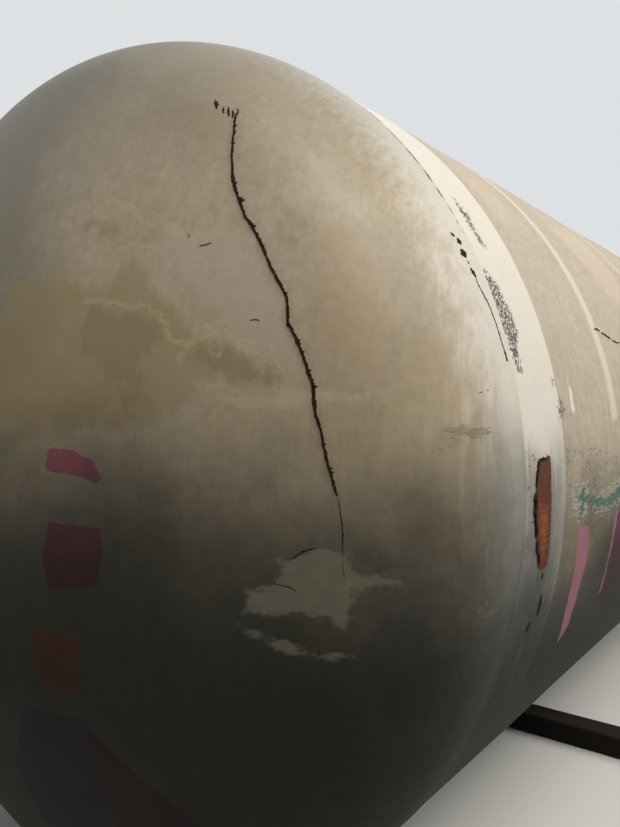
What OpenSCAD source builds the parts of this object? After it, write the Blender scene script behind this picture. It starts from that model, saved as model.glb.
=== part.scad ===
// Horizontal pressure tank of welded steel, laid on two timber bearers.
// Units are millimetres. +X runs along the tank, away from the plain head, and +Z is up.
// The origin is on the ground, below the middle of the tank.

/* [Shell] */
// Outside diameter of the shell and of both heads
shell_od = 2480; // [1800:10:3200]
// Thickness of the shell and head plates
wall = 14; // [8:1:25]
// Length of one rolled course, from weld to weld
course_len = 2200; // [1500:10:3000]
// Number of rolled courses
course_count = 4; // [4:1:4]
// Angle of each long seam from the crown, on alternate sides
seam_angle = 25; // [20:1:40]

/* [Heads] */
// Inside crown radius of a head as a share of the inside diameter
crown_ratio = 0.8; // [0.75:0.01:1]
// Inside knuckle radius of a head as a share of the inside diameter
knuckle_ratio = 0.154; // [0.1:0.002:0.2]
// Straight flange between the head's knuckle and its weld
head_flange = 38; // [20:1:60]

/* [Welds] */
// Gap between the plates at the root of a weld
root_gap = 3; // [1:0.5:5]
// Unbevelled land at the root of each plate
root_land = 2; // [1:0.5:4]
// Bevel angle of each plate edge
bevel_angle = 30; // [20:1:35]
// Width by which a weld's cap laps each plate
cap_lap = 3; // [1:0.5:5]
// Height of a weld's cap above the plate
cap_height = 2.5; // [1:0.5:4]

/* [Manway] */
// Outside diameter of the manway's neck
manway_od = 508; // [450:1:620]
// Wall of the manway's neck
manway_wall = 13; // [8:1:20]
// From the head's outer face to the face of the manway's flange
manway_stand = 190; // [120:5:300]
// Diameter of the reinforcing plate round the neck
manway_pad_d = 860; // [760:10:1000]
// Thickness of the reinforcing plate
manway_pad_t = 14; // [8:1:25]
// Outside diameter of the manway's flange and cover
manway_flange_d = 775; // [720:5:900]
// Thickness of the manway's flange
manway_flange_t = 63; // [40:1:80]
// Thickness of the manway's cover
manway_cover_t = 60; // [40:1:80]
// Bolt circle of the manway's flange
manway_pcd = 686; // [640:1:760]
// Bolt holes in the manway's flange
manway_bolts = 24; // [16:4:32]
// Diameter of those bolt holes
manway_hole_d = 35; // [26:1:40]
// Thickness of the manway's gasket
gasket_t = 3; // [2:0.5:6]
// Width of the gasket's ring
gasket_w = 45; // [20:1:60]

/* [Davit] */
// Diameter of the davit's bar
davit_d = 38; // [30:1:50]
// Wall of the sleeve that the davit turns in
davit_sleeve_wall = 9; // [6:1:14]
// Height of that sleeve
davit_sleeve_h = 130; // [90:5:180]
// Gap between the sleeve and the rim of the flange
davit_off = 16; // [8:1:40]
// Bend radius of the davit's bar
davit_bend = 110; // [80:5:180]
// Height of the davit's arm above the rim of the cover
davit_over = 120; // [80:5:200]
// Diameter of the rod that hangs the cover on the davit
davit_rod_d = 22; // [16:1:30]
// Thickness of each plate that carries the sleeve
davit_plate_t = 14; // [8:1:20]
// Diameter of the bar of a grab handle
handle_d = 18; // [12:1:25]
// Half of the length of a grab handle
handle_r = 70; // [50:5:100]
// Distance of each grab handle from the middle of the cover
handle_y = 190; // [150:5:230]

/* [Crown nozzles] */
// Distances of the two relief nozzles from the near tangent line
relief_x = [3650, 5800];
// Outside diameter of a relief nozzle's neck
relief_od = 89; // [80:1:120]
// Bore of a relief nozzle
relief_bore = 74; // [60:1:90]
// Outside diameter of a relief nozzle's flange
relief_flange_d = 210; // [195:1:260]
// Thickness of a relief nozzle's flange and cover
relief_flange_t = 29; // [20:1:40]
// Bolt circle of a relief nozzle
relief_pcd = 168; // [160:1:180]
// Diameter of a relief nozzle's bolt holes
relief_hole_d = 22; // [16:1:24]
// Distance of the vapour nozzle from the near tangent line
vapour_x = 5050; // [4700:10:5400]
// Outside diameter of the vapour nozzle's neck
vapour_od = 60; // [50:1:80]
// Bore of the vapour nozzle
vapour_bore = 49; // [35:1:50]
// Outside diameter of the vapour nozzle's flange
vapour_flange_d = 165; // [155:1:200]
// Thickness of the vapour nozzle's flange and cover
vapour_flange_t = 22; // [16:1:30]
// Bolt circle of the vapour nozzle
vapour_pcd = 127; // [120:1:135]
// Diameter of the vapour nozzle's bolt holes
vapour_hole_d = 19; // [14:1:20]
// Bolt holes in each nozzle's flange
nozzle_bolts = 8; // [4:4:12]
// Height of a nozzle's flange face above the crown
nozzle_stand = 200; // [150:5:250]
// Width by which a reinforcing plate reaches past its neck
nozzle_pad_w = 60; // [40:1:100]
// Thickness of a nozzle's reinforcing plate
nozzle_pad_t = 12; // [8:1:20]
// Height of the tapered hub behind a nozzle's flange
hub_h = 45; // [30:1:60]
// Width by which the hub's root is thicker than the neck
hub_w = 14; // [6:1:16]

/* [Bottom fittings] */
// Distance of the liquid outlet from the near tangent line
outlet_x = 5500; // [4800:10:6300]
// Bore of the liquid outlet
outlet_bore = 100; // [80:1:120]
// Outside diameter of the liquid outlet's pad and cover
outlet_d = 255; // [230:1:300]
// Bolt circle of the liquid outlet
outlet_pcd = 200; // [180:1:210]
// Distance of the drain from the near tangent line
drain_x = 3300; // [2600:10:4100]
// Bore of the drain
drain_bore = 50; // [40:1:60]
// Outside diameter of the drain's pad and cover
drain_d = 165; // [150:1:200]
// Bolt circle of the drain
drain_pcd = 125; // [110:1:130]
// Bolt holes in each bottom fitting
bottom_bolts = 8; // [4:4:8]
// Diameter of the bottom fittings' bolt holes
bottom_hole_d = 18; // [14:1:20]
// Thickness of a bottom pad below the lowest line of the shell
bottom_pad_t = 30; // [20:1:34]
// Thickness of a bottom cover
bottom_cover_t = 18; // [12:1:24]

/* [Lifting lugs] */
// Distance of each lifting lug from its tangent line
lug_x = 1450; // [1000:10:1900]
// Thickness of a lifting lug
lug_t = 32; // [20:1:50]
// Width of a lifting lug at its foot
lug_foot = 280; // [220:5:360]
// Radius of the rounded top of a lifting lug
lug_r = 72; // [60:1:85]
// Height of the eye above the crown
lug_eye_h = 125; // [110:5:160]
// Diameter of the eye
lug_eye_d = 62; // [40:1:80]
// Length of the plate below a lifting lug
lug_pad_x = 420; // [380:5:500]
// Width of that plate
lug_pad_y = 260; // [180:5:340]
// Thickness of that plate
lug_pad_t = 14; // [8:1:20]
// Corner radius of that plate
lug_pad_r = 45; // [20:1:70]

/* [Bearers] */
// Distance of each timber bearer from its tangent line
bearer_x = 1750; // [1300:10:2100]
// Width of a bearer
bearer_w = 125; // [80:5:250]
// Height of a bearer
bearer_h = 90; // [80:1:160]
// Length of a bearer
bearer_len = 2600; // [2200:10:3000]
// Depth to which the shell has pressed into a bearer
bearer_bite = 6; // [2:1:8]
// Worn edge of a bearer
bearer_edge = 5; // [1:1:10]
// Slope of a wedge between bearer and shell
chock_angle = 18; // [14:1:24]
// Length of a wedge
chock_len = 300; // [250:5:360]
// Width of a wedge
chock_w = 95; // [60:5:120]
// Thickness of the thin end of a wedge
chock_tip = 8; // [4:1:15]

/* [Hidden] */
$fn = 144;
eps = 1;
cap_steps = 8;
fit = 0.3;
ro = shell_od / 2;
ri = ro - wall;

// A head is a crown sphere and a knuckle torus that meet in one tangent.
crown_r = crown_ratio * 2 * ri;
knuckle_r = knuckle_ratio * 2 * ri;
knuckle_c = ri - knuckle_r;
crown_z = -sqrt(pow(crown_r - knuckle_r, 2) - pow(knuckle_c, 2));
tangent_a = asin(knuckle_c / (crown_r - knuckle_r));
head_depth = crown_r + wall + crown_z;

// Distances along the tank are counted from the near tangent line.
shell_end = 2 * head_flange + course_count * course_len;
manway_face = shell_end + head_depth + manway_stand;
cover_face = manway_face + gasket_t + manway_cover_t;
handle_stand = handle_r / 2;
tank_end = cover_face + handle_stand + handle_r + handle_d / 2;
middle_x = (tank_end - head_depth) / 2;
axis_z = ro + bearer_h - bearer_bite;
bevel_w = (wall - root_land) * tan(bevel_angle);
cap_w = root_gap + 2 * bevel_w + 2 * cap_lap;
cap_r = (pow(cap_w / 2, 2) + pow(cap_height, 2)) / (2 * cap_height);

function weld_x(i) = head_flange + i * course_len;
function seam_side(i) = (i % 2 == 0) ? 1 : -1;

// Puts the near tangent line at its place, with the tank's axis along X.
module tank() {
    translate([-middle_x, 0, axis_z]) children();
}

// Turns a shape that was made about Z to the tank's axis.
module along(x) {
    translate([x, 0, 0]) rotate([0, 90, 0]) children();
}

// Half of a dished end in section, filled: the crown's sector and the knuckle's circle.
module head_fill(grow) {
    reach = 2 * (knuckle_r + wall);
    joint = [knuckle_c + reach * sin(tangent_a), reach * cos(tangent_a)];
    intersection() {
        translate([0, crown_z]) circle(crown_r + grow, $fn = 720);
        polygon([[0, 0], [0, joint.y], joint, [knuckle_c, 0]]);
    }
    intersection() {
        translate([knuckle_c, 0]) circle(knuckle_r + grow, $fn = 360);
        square([2 * ro, 2 * ro]);
    }
}

// The wall of a head in section, with its straight flange and bevelled edge.
module head_section() {
    difference() {
        head_fill(wall);
        head_fill(0);
    }
    polygon([
        [ri, 0],
        [ri, root_gap / 2 - head_flange],
        [ri + root_land, root_gap / 2 - head_flange],
        [ro, root_gap / 2 + bevel_w - head_flange],
        [ro, 0]
    ]);
}

module head() {
    rotate_extrude() head_section();
}

module near_head() {
    color("#c9c6b8") tank() along(0) mirror([0, 0, 1]) head();
}

module far_head() {
    color("#c9c6b8") tank() difference() {
        along(shell_end) head();
        along(shell_end) cylinder(h = head_depth + wall, d = manway_od + 2 * fit);
    }
}

// A course in section, bevelled on the outside for its two girth welds.
module course_section() {
    polygon([
        [ri, root_gap / 2],
        [ri + root_land, root_gap / 2],
        [ro, root_gap / 2 + bevel_w],
        [ro, course_len - root_gap / 2 - bevel_w],
        [ri + root_land, course_len - root_gap / 2],
        [ri, course_len - root_gap / 2]
    ]);
}

// The open vee of a long seam, seen along the tank with the crown up.
module seam_vee(above) {
    spread = bevel_w + above * tan(bevel_angle);
    polygon([
        [-root_gap / 2, ri - eps],
        [root_gap / 2, ri - eps],
        [root_gap / 2, ri + root_land],
        [root_gap / 2 + spread, ro + above],
        [-root_gap / 2 - spread, ro + above],
        [-root_gap / 2, ri + root_land]
    ]);
}

// Weld metal in section: the filled vee below a low rounded cap.
module weld_section(root) {
    half_a = asin(cap_w / 2 / cap_r);
    polygon(concat(
        [
            [-root_gap / 2, root],
            [-root_gap / 2, ri + root_land],
            [-root_gap / 2 - bevel_w, ro],
            [-cap_w / 2, ro]
        ],
        [
            for (k = [1 : cap_steps - 1])
                let (a = half_a * (2 * k / cap_steps - 1))
                [cap_r * sin(a), ro + cap_height - cap_r + cap_r * cos(a)]
        ],
        [
            [cap_w / 2, ro],
            [root_gap / 2 + bevel_w, ro],
            [root_gap / 2, ri + root_land],
            [root_gap / 2, root]
        ]
    ));
}

// Holds what is drawn in the plane across the tank, at the seam's angle.
module at_seam(i) {
    translate([weld_x(i), 0, 0])
        rotate([-seam_side(i) * seam_angle, 0, 0])
            rotate([90, 0, 90])
                linear_extrude(course_len) children();
}

module nozzle_hole(x, od, up) {
    translate([x, 0, up ? 0 : -ro - eps]) cylinder(h = ro + eps, d = od + 2 * fit);
}

module shell_course(i) {
    color("#cfc4b0") tank() difference() {
        along(weld_x(i)) rotate_extrude() course_section();
        at_seam(i) seam_vee(eps);
        if (i == 1) {
            nozzle_hole(relief_x[0], relief_od, true);
            nozzle_hole(drain_x, drain_bore, false);
        }
        if (i == 2) {
            nozzle_hole(relief_x[1], relief_od, true);
            nozzle_hole(vapour_x, vapour_od, true);
            nozzle_hole(outlet_x, outlet_bore, false);
        }
    }
}

// A ring of weld metal that fills the vee between two plates.
module girth_weld(i) {
    color("#b9a58c") tank() along(weld_x(i)) rotate_extrude() rotate(-90) mirror([1, 0])
        weld_section(ri);
}

// The space that a long weld fills, ending against the girth welds.
module seam_reach() {
    half = course_len / 2;
    side = [
        [ri, half - root_gap / 2],
        [ri + root_land, half - root_gap / 2],
        [ro, half - root_gap / 2 - bevel_w],
        [ro, half - cap_w / 2],
        [ro + 2 * cap_height, half - cap_w / 2]
    ];
    polygon(concat(side, [for (k = [4 : -1 : 0]) [side[k].x, -side[k].y]]));
}

// The long weld of a course.
module seam_weld(i) {
    color("#b9a58c") tank() intersection() {
        at_seam(i) weld_section(ri - eps);
        along(weld_x(i) + course_len / 2) rotate_extrude() seam_reach();
    }
}

// Bolt holes on a circle about Z.
module bolt_holes(count, pcd, d, h) {
    for (k = [0 : count - 1])
        rotate(360 * (k + 0.5) / count) translate([pcd / 2, 0, 0]) cylinder(h = h, d = d, $fn = 32);
}

// Flange ring with a hub that tapers into its neck, face up at height zero.
module neck_flange(od, bore, flange_d, flange_t, hub_up, hub_out, count, pcd, hole_d) {
    difference() {
        rotate_extrude() polygon([
            [bore / 2, 0],
            [flange_d / 2, 0],
            [flange_d / 2, -flange_t],
            [od / 2 + hub_out, -flange_t],
            [od / 2, -flange_t - hub_up],
            [bore / 2, -flange_t - hub_up]
        ]);
        translate([0, 0, -flange_t - eps]) bolt_holes(count, pcd, hole_d, flange_t + 2 * eps);
    }
}

// Blind cover, lower face at height zero, with a rim chamfer on top.
module blind_cover(d, t, count, pcd, hole_d) {
    difference() {
        rotate_extrude() polygon([
            [0, 0],
            [d / 2, 0],
            [d / 2, t - t / 12],
            [d / 2 - t / 12, t],
            [0, t]
        ]);
        translate([0, 0, -eps]) bolt_holes(count, pcd, hole_d, t + 2 * eps);
    }
}

// Manway in the middle of the far head.
module manway_pad() {
    outer = crown_r + wall;
    color("#c4bfb0") tank() along(shell_end) difference() {
        intersection() {
            translate([0, 0, crown_z]) difference() {
                sphere(outer + manway_pad_t);
                sphere(outer);
            }
            cylinder(h = 2 * head_depth, d = manway_pad_d);
        }
        cylinder(h = 2 * head_depth, d = manway_od + 2 * fit);
    }
}

module manway_neck() {
    color("#bdb8aa") tank() along(shell_end) difference() {
        cylinder(h = head_depth + manway_stand - manway_flange_t - hub_h, d = manway_od);
        cylinder(h = 2 * head_depth, d = manway_od - 2 * manway_wall);
        translate([0, 0, crown_z]) sphere(crown_r);
    }
}

module manway_flange() {
    color("#b4afa0") tank() along(manway_face) neck_flange(
        manway_od, manway_od - 2 * manway_wall, manway_flange_d, manway_flange_t,
        hub_h, hub_w, manway_bolts, manway_pcd, manway_hole_d);
}

module manway_gasket() {
    inner = manway_od / 2;
    color("#5a5a58") tank() along(manway_face) difference() {
        cylinder(h = gasket_t, r = inner + gasket_w);
        translate([0, 0, -eps]) cylinder(h = gasket_t + 2 * eps, r = inner);
    }
}

module manway_cover() {
    color("#b4afa0") tank() along(manway_face + gasket_t)
        blind_cover(manway_flange_d, manway_cover_t, manway_bolts, manway_pcd, manway_hole_d);
}

// Two bent round bars welded to the cover.
module cover_handles() {
    color("#9c9786") tank() for (side = [-1, 1]) translate([cover_face, side * handle_y, 0]) {
        for (end = [-1, 1])
            translate([0, 0, end * handle_r]) rotate([0, 90, 0])
                cylinder(h = handle_stand, d = handle_d, $fn = 32);
        translate([handle_stand, 0, 0]) rotate([90, 0, 0]) rotate(-90)
            rotate_extrude(angle = 180) translate([handle_r, 0]) circle(d = handle_d, $fn = 32);
    }
}

// The davit stands beside the flange, in the plane of the cover.
davit_x = manway_face + gasket_t + manway_cover_t / 2;
davit_sleeve_r = davit_d / 2 + davit_sleeve_wall;
davit_y = manway_flange_d / 2 + davit_off + davit_sleeve_r;
davit_top = manway_flange_d / 2 + davit_over;

module davit_bracket() {
    rim = manway_flange_d / 2;
    plate_back = manway_face - manway_flange_t;
    color("#a8a394") tank() difference() {
        union() {
            translate([davit_x, davit_y, -davit_sleeve_h / 2])
                cylinder(h = davit_sleeve_h, r = davit_sleeve_r);
            for (z = [-davit_sleeve_h / 2 + davit_plate_t, davit_sleeve_h / 2 - 2 * davit_plate_t])
                translate([0, 0, z]) linear_extrude(davit_plate_t) polygon([
                    [plate_back, rim * cos(asin(davit_sleeve_h / 2 / rim)) - davit_plate_t],
                    [plate_back, rim + davit_off],
                    [davit_x - davit_sleeve_r, davit_y],
                    [davit_x, davit_y],
                    [davit_x, davit_y - davit_sleeve_r + eps],
                    [manway_face, rim * cos(asin(davit_sleeve_h / 2 / rim)) - davit_plate_t]
                ]);
        }
        translate([davit_x, davit_y, -davit_sleeve_h])
            cylinder(h = 2 * davit_sleeve_h, d = davit_d + 2 * fit);
        along(plate_back - eps) cylinder(h = manway_flange_t + manway_cover_t + gasket_t + 2 * eps, r = rim);
    }
}

module manway_davit() {
    rise = davit_top - davit_bend;
    color("#9c9786") tank() translate([davit_x, 0, 0]) {
        translate([0, davit_y, -davit_sleeve_h / 2 - davit_d / 2])
            cylinder(h = rise + davit_sleeve_h / 2 + davit_d / 2, d = davit_d);
        translate([0, davit_y - davit_bend, rise]) rotate([0, -90, 0])
            rotate_extrude(angle = 90) translate([davit_bend, 0]) circle(d = davit_d);
        translate([0, davit_y - davit_bend, davit_top]) rotate([90, 0, 0])
            cylinder(h = davit_y - davit_bend + davit_d, d = davit_d);
        translate([0, 0, manway_flange_d / 2])
            cylinder(h = davit_over, d = davit_rod_d, $fn = 32);
    }
}

// Nozzles on the crown, each with a reinforcing plate and a blind cover.
module crown_pad(x, od) {
    difference() {
        intersection() {
            translate([x, 0, 0]) cylinder(h = ro + 2 * nozzle_pad_t, d = od + 2 * nozzle_pad_w);
            along(x - od - nozzle_pad_w) difference() {
                cylinder(h = 2 * (od + nozzle_pad_w), r = ro + nozzle_pad_t);
                translate([0, 0, -eps]) cylinder(h = 2 * (od + nozzle_pad_w + eps), r = ro);
            }
        }
        nozzle_hole(x, od, true);
        translate([x, 0, ro]) cylinder(h = 2 * nozzle_pad_t, d = od + 2 * fit);
    }
}

module crown_nozzle(x, od, bore, flange_d, flange_t, pcd, hole_d) {
    top = ro + nozzle_stand;
    difference() {
        translate([x, 0, 0]) union() {
            difference() {
                cylinder(h = top - flange_t - hub_h, d = od);
                translate([0, 0, -eps]) cylinder(h = top, d = bore);
            }
            translate([0, 0, top]) neck_flange(
                od, bore, flange_d, flange_t, hub_h, hub_w, nozzle_bolts, pcd, hole_d);
        }
        along(x - od) cylinder(h = 2 * od, r = ri);
    }
}

module crown_cover(x, flange_d, flange_t, pcd, hole_d) {
    translate([x, 0, ro + nozzle_stand]) blind_cover(flange_d, flange_t, nozzle_bolts, pcd, hole_d);
}

module relief_pad(k) {
    color("#c4bfb0") tank() crown_pad(relief_x[k], relief_od);
}

module relief_nozzle(k) {
    color("#b4afa0") tank() crown_nozzle(
        relief_x[k], relief_od, relief_bore, relief_flange_d, relief_flange_t, relief_pcd, relief_hole_d);
}

module relief_cover(k) {
    color("#b4afa0") tank() crown_cover(
        relief_x[k], relief_flange_d, relief_flange_t, relief_pcd, relief_hole_d);
}

module vapour_pad() {
    color("#c4bfb0") tank() crown_pad(vapour_x, vapour_od);
}

module vapour_nozzle() {
    color("#b4afa0") tank() crown_nozzle(
        vapour_x, vapour_od, vapour_bore, vapour_flange_d, vapour_flange_t, vapour_pcd, vapour_hole_d);
}

module vapour_cover() {
    color("#b4afa0") tank() crown_cover(
        vapour_x, vapour_flange_d, vapour_flange_t, vapour_pcd, vapour_hole_d);
}

// Flat pads under the shell, drilled for a fitting and closed by a cover.
module bottom_pad(x, d, bore, pcd) {
    difference() {
        translate([x, 0, -ro - bottom_pad_t]) cylinder(h = ro, d = d);
        translate([x, 0, -ro - bottom_pad_t - eps]) {
            cylinder(h = ro, d = bore);
            bolt_holes(bottom_bolts, pcd, bottom_hole_d, bottom_pad_t - bottom_hole_d / 2);
        }
        along(x - d) cylinder(h = 2 * d, r = ro);
    }
}

module bottom_cover(x, d, pcd) {
    translate([x, 0, -ro - bottom_pad_t]) mirror([0, 0, 1])
        blind_cover(d, bottom_cover_t, bottom_bolts, pcd, bottom_hole_d);
}

module outlet_pad() {
    color("#b4afa0") tank() bottom_pad(outlet_x, outlet_d, outlet_bore, outlet_pcd);
}

module outlet_cover() {
    color("#b4afa0") tank() bottom_cover(outlet_x, outlet_d, outlet_pcd);
}

module drain_pad() {
    color("#b4afa0") tank() bottom_pad(drain_x, drain_d, drain_bore, drain_pcd);
}

module drain_cover() {
    color("#b4afa0") tank() bottom_cover(drain_x, drain_d, drain_pcd);
}

// A lifting lug stands in line with the tank on a curved plate.
module lug_place(far) {
    translate([far ? shell_end - lug_x : lug_x, 0, 0]) children();
}

module lug_pad(far) {
    color("#c4bfb0") tank() lug_place(far) intersection() {
        linear_extrude(ro + 2 * lug_pad_t) union() {
            square([lug_pad_x, lug_pad_y - 2 * lug_pad_r], center = true);
            square([lug_pad_x - 2 * lug_pad_r, lug_pad_y], center = true);
            for (sx = [-1, 1], sy = [-1, 1])
                translate([sx * (lug_pad_x / 2 - lug_pad_r), sy * (lug_pad_y / 2 - lug_pad_r)])
                    circle(lug_pad_r);
        }
        along(-lug_pad_x) difference() {
            cylinder(h = 2 * lug_pad_x, r = ro + lug_pad_t);
            translate([0, 0, -eps]) cylinder(h = 2 * (lug_pad_x + eps), r = ro);
        }
    }
}

module lifting_lug(far) {
    foot_z = lug_eye_h;
    lean = atan(lug_foot / 2 / foot_z) - asin(lug_r / norm([lug_foot / 2, foot_z]));
    side_a = 90 - lean;
    color("#b4afa0") tank() lug_place(far) difference() {
        translate([0, lug_t / 2, ro]) rotate([90, 0, 0]) linear_extrude(lug_t) {
            difference() {
                union() {
                    translate([0, lug_eye_h]) circle(lug_r);
                    polygon([
                        [-lug_foot / 2, 0],
                        [lug_foot / 2, 0],
                        [lug_r * sin(side_a), lug_eye_h + lug_r * cos(side_a)],
                        [-lug_r * sin(side_a), lug_eye_h + lug_r * cos(side_a)]
                    ]);
                }
                translate([0, lug_eye_h]) circle(d = lug_eye_d);
            }
        }
        along(-lug_foot) cylinder(h = 2 * lug_foot, r = ro + lug_pad_t);
    }
}

// Timber bearers across the tank, with the shell's line pressed into them.
module bearer_place(far) {
    translate([far ? shell_end - bearer_x : bearer_x, 0, 0]) children();
}

module bearer(far) {
    w = bearer_w / 2;
    low = -axis_z;
    high = bearer_h - axis_z;
    color("#7a6a55") tank() bearer_place(far) difference() {
        translate([0, bearer_len / 2, 0]) rotate([90, 0, 0]) linear_extrude(bearer_len) polygon([
            [-w + bearer_edge, low],
            [w - bearer_edge, low],
            [w, low + bearer_edge],
            [w, high - bearer_edge],
            [w - bearer_edge, high],
            [-w + bearer_edge, high],
            [-w, high - bearer_edge],
            [-w, low + bearer_edge]
        ]);
        along(-bearer_w) cylinder(h = 2 * bearer_w, r = ro);
    }
}

// Wedges on a bearer that keep the shell from rolling.
module chocks(far) {
    high = bearer_h - axis_z;
    touch_y = ro * sin(chock_angle);
    touch_h = -ro * cos(chock_angle) - high;
    tip_y = touch_y - (touch_h - chock_tip) / tan(chock_angle);
    back_h = chock_tip + chock_len * tan(chock_angle);
    color("#85745c") tank() bearer_place(far) for (side = [-1, 1]) scale([1, side, 1])
        translate([chock_w / 2, tip_y, high]) rotate([90, 0, -90]) mirror([1, 0, 0])
            linear_extrude(chock_w) polygon([
                [0, 0],
                [chock_len, 0],
                [chock_len, back_h],
                [0, chock_tip]
            ]);
}

near_head();
far_head();
shell_course(0);  // shell_course_1
shell_course(1);  // shell_course_2
shell_course(2);  // shell_course_3
shell_course(3);  // shell_course_4
girth_weld(0);  // girth_weld_1
girth_weld(1);  // girth_weld_2
girth_weld(2);  // girth_weld_3
girth_weld(3);  // girth_weld_4
girth_weld(4);  // girth_weld_5
seam_weld(0);  // seam_weld_1
seam_weld(1);  // seam_weld_2
seam_weld(2);  // seam_weld_3
seam_weld(3);  // seam_weld_4
manway_pad();
manway_neck();
manway_flange();
manway_gasket();
manway_cover();
cover_handles();
davit_bracket();
manway_davit();
relief_pad(0);  // relief_pad_1
relief_pad(1);  // relief_pad_2
relief_nozzle(0);  // relief_nozzle_1
relief_nozzle(1);  // relief_nozzle_2
relief_cover(0);  // relief_cover_1
relief_cover(1);  // relief_cover_2
vapour_pad();
vapour_nozzle();
vapour_cover();
outlet_pad();
outlet_cover();
drain_pad();
drain_cover();
lug_pad(false);  // lug_pad_near
lug_pad(true);  // lug_pad_far
lifting_lug(false);  // lifting_lug_near
lifting_lug(true);  // lifting_lug_far
bearer(false);  // bearer_near
bearer(true);  // bearer_far
chocks(false);  // chocks_near
chocks(true);  // chocks_far
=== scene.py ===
import math

import bmesh
import bpy
import numpy as np
from mathutils import Matrix, Vector


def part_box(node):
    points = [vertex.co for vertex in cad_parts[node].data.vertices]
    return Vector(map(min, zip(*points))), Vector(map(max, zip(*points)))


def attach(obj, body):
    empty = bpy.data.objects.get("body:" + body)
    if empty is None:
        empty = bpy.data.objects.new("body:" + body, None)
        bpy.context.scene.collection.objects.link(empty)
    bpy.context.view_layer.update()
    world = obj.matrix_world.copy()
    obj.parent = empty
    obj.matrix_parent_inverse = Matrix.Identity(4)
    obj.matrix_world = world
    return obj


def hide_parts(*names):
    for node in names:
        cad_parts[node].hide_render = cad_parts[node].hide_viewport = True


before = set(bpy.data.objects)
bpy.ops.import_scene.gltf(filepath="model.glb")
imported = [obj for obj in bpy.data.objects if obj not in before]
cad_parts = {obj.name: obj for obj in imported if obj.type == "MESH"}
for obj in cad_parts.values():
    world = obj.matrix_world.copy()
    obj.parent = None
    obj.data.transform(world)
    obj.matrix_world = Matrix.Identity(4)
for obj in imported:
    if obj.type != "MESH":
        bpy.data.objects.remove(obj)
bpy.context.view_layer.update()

# Plain near head. It is one pressing of 14 mm steel plate, a crown sphere that runs into
# a knuckle, and it carries cream enamel that rain, dust and scrapes have dulled in patches.
# Over that lies painted shade on its left side and top, grime and painted shade on its lower
# half, and on its knuckle wiped paint with a painted sheen.
# The real pressing is never quite true, so the skin swells and sinks by about a millimetre.


def box_of(name):
    """Gives the middle and the half sizes of a node's box."""
    low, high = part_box(name)
    return [(a + b) / 2 for a, b in zip(low, high)], [(b - a) / 2 for a, b in zip(low, high)]


(_, _, axis_z), (_, outer_r, _) = box_of("shell_course_1")
wall = 0.014
flange_len = 0.038
crown_r = 0.8 * 2 * (outer_r - wall) + wall
knuckle_r = 0.154 * 2 * (outer_r - wall) + wall
knuckle_c = outer_r - knuckle_r
crown_back = math.sqrt((crown_r - knuckle_r) ** 2 - knuckle_c ** 2)
join_angle = math.asin(knuckle_c / (crown_r - knuckle_r))
bevel_reach, root_face, root_step = 0.0085, 0.0015, 0.002
swell_height = 0.0016
weld_gap = 1e-6
near_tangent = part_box("near_head")[0].x + crown_r - crown_back
far_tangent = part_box("far_head")[0].x + flange_len


def linear(code):
    """Turns an sRGB hex colour into the linear one that the shaders take."""
    parts = [int(code[k:k + 2], 16) / 255 for k in (1, 3, 5)]
    bent = [p / 12.92 if p <= 0.04045 else ((p + 0.055) / 1.055) ** 2.4 for p in parts]
    return (*bent, 1.0)


def add(tree, kind, sockets=None, **settings):
    """Adds a node with its settings; a socket takes a plain value or a link."""
    made = tree.nodes.new("ShaderNode" + kind)
    for key, value in settings.items():
        setattr(made, key, value)
    for key, value in (sockets or {}).items():
        if isinstance(value, bpy.types.NodeSocket):
            tree.links.new(value, made.inputs[key])
        else:
            made.inputs[key].default_value = value
    return made


def new_material(name):
    """Makes an empty material and returns it with its node tree."""
    made = bpy.data.materials.new(name)
    made.use_nodes = True
    made.node_tree.nodes.clear()
    return made, made.node_tree


def stand(name, data):
    """Makes an object of a mesh, lamp or camera and puts it in the scene."""
    made = bpy.data.objects.new(name, data)
    bpy.context.scene.collection.objects.link(made)
    return made


def close_skin(name, work, mesh, sharp):
    """Welds a skin shut, smooths it but for its sharp edges, and rides it."""
    bmesh.ops.remove_doubles(work, verts=work.verts, dist=weld_gap)
    bmesh.ops.recalc_face_normals(work, faces=work.faces)
    work.to_mesh(mesh)
    work.free()
    mesh.shade_smooth()
    mesh.set_sharp_from_angle(angle=math.radians(sharp))
    made = stand(name, mesh)
    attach(made, "root")
    return made


def shut_skin(name, points, fields=None, sharp=35):
    """Makes a mesh from a grid of points that closes on itself along its second way."""
    rows, columns = points.shape[:2]
    index = np.arange(rows * columns).reshape(rows, columns)
    index = np.hstack([index, index[:, :1]])
    corners = np.stack([index[:-1, :-1], index[1:, :-1], index[1:, 1:], index[:-1, 1:]], -1)
    mesh = bpy.data.meshes.new(name)
    mesh.from_pydata(points.reshape(-1, 3).tolist(), [], corners.reshape(-1, 4).tolist())
    for field, values in (fields or {}).items():
        layer = mesh.attributes.new(field, "FLOAT", "POINT")
        layer.data.foreach_set("value", np.ascontiguousarray(values, dtype=np.float32).ravel())
    work = bmesh.new()
    work.from_mesh(mesh)
    return close_skin(name, work, mesh, sharp)


def swell(x, y, z):
    """Gives the slow rise and fall of pressed or rolled plate."""
    waves = [(3.1, 1.7, 2.3, 0.4), (1.3, 4.1, 3.7, 2.1), (5.3, 2.9, 1.1, 4.0), (7.7, 6.1, 5.3, 1.2)]
    total = sum(np.sin(a * x + b * y + c * z + d) / (k + 1) for k, (a, b, c, d) in enumerate(waves))
    return swell_height * total / 2


def near_line(u, v, line):
    """Gives the distance in mm from a line of points."""
    best = np.full(u.shape, 1e6)
    for (u0, v0), (u1, v1) in zip(line[:-1], line[1:]):
        du, dv = u1 - u0, v1 - v0
        t = np.clip(((u - u0) * du + (v - v0) * dv) / (du * du + dv * dv), 0, 1)
        best = np.minimum(best, np.hypot(u - u0 - t * du, v - v0 - t * dv))
    return best


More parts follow.
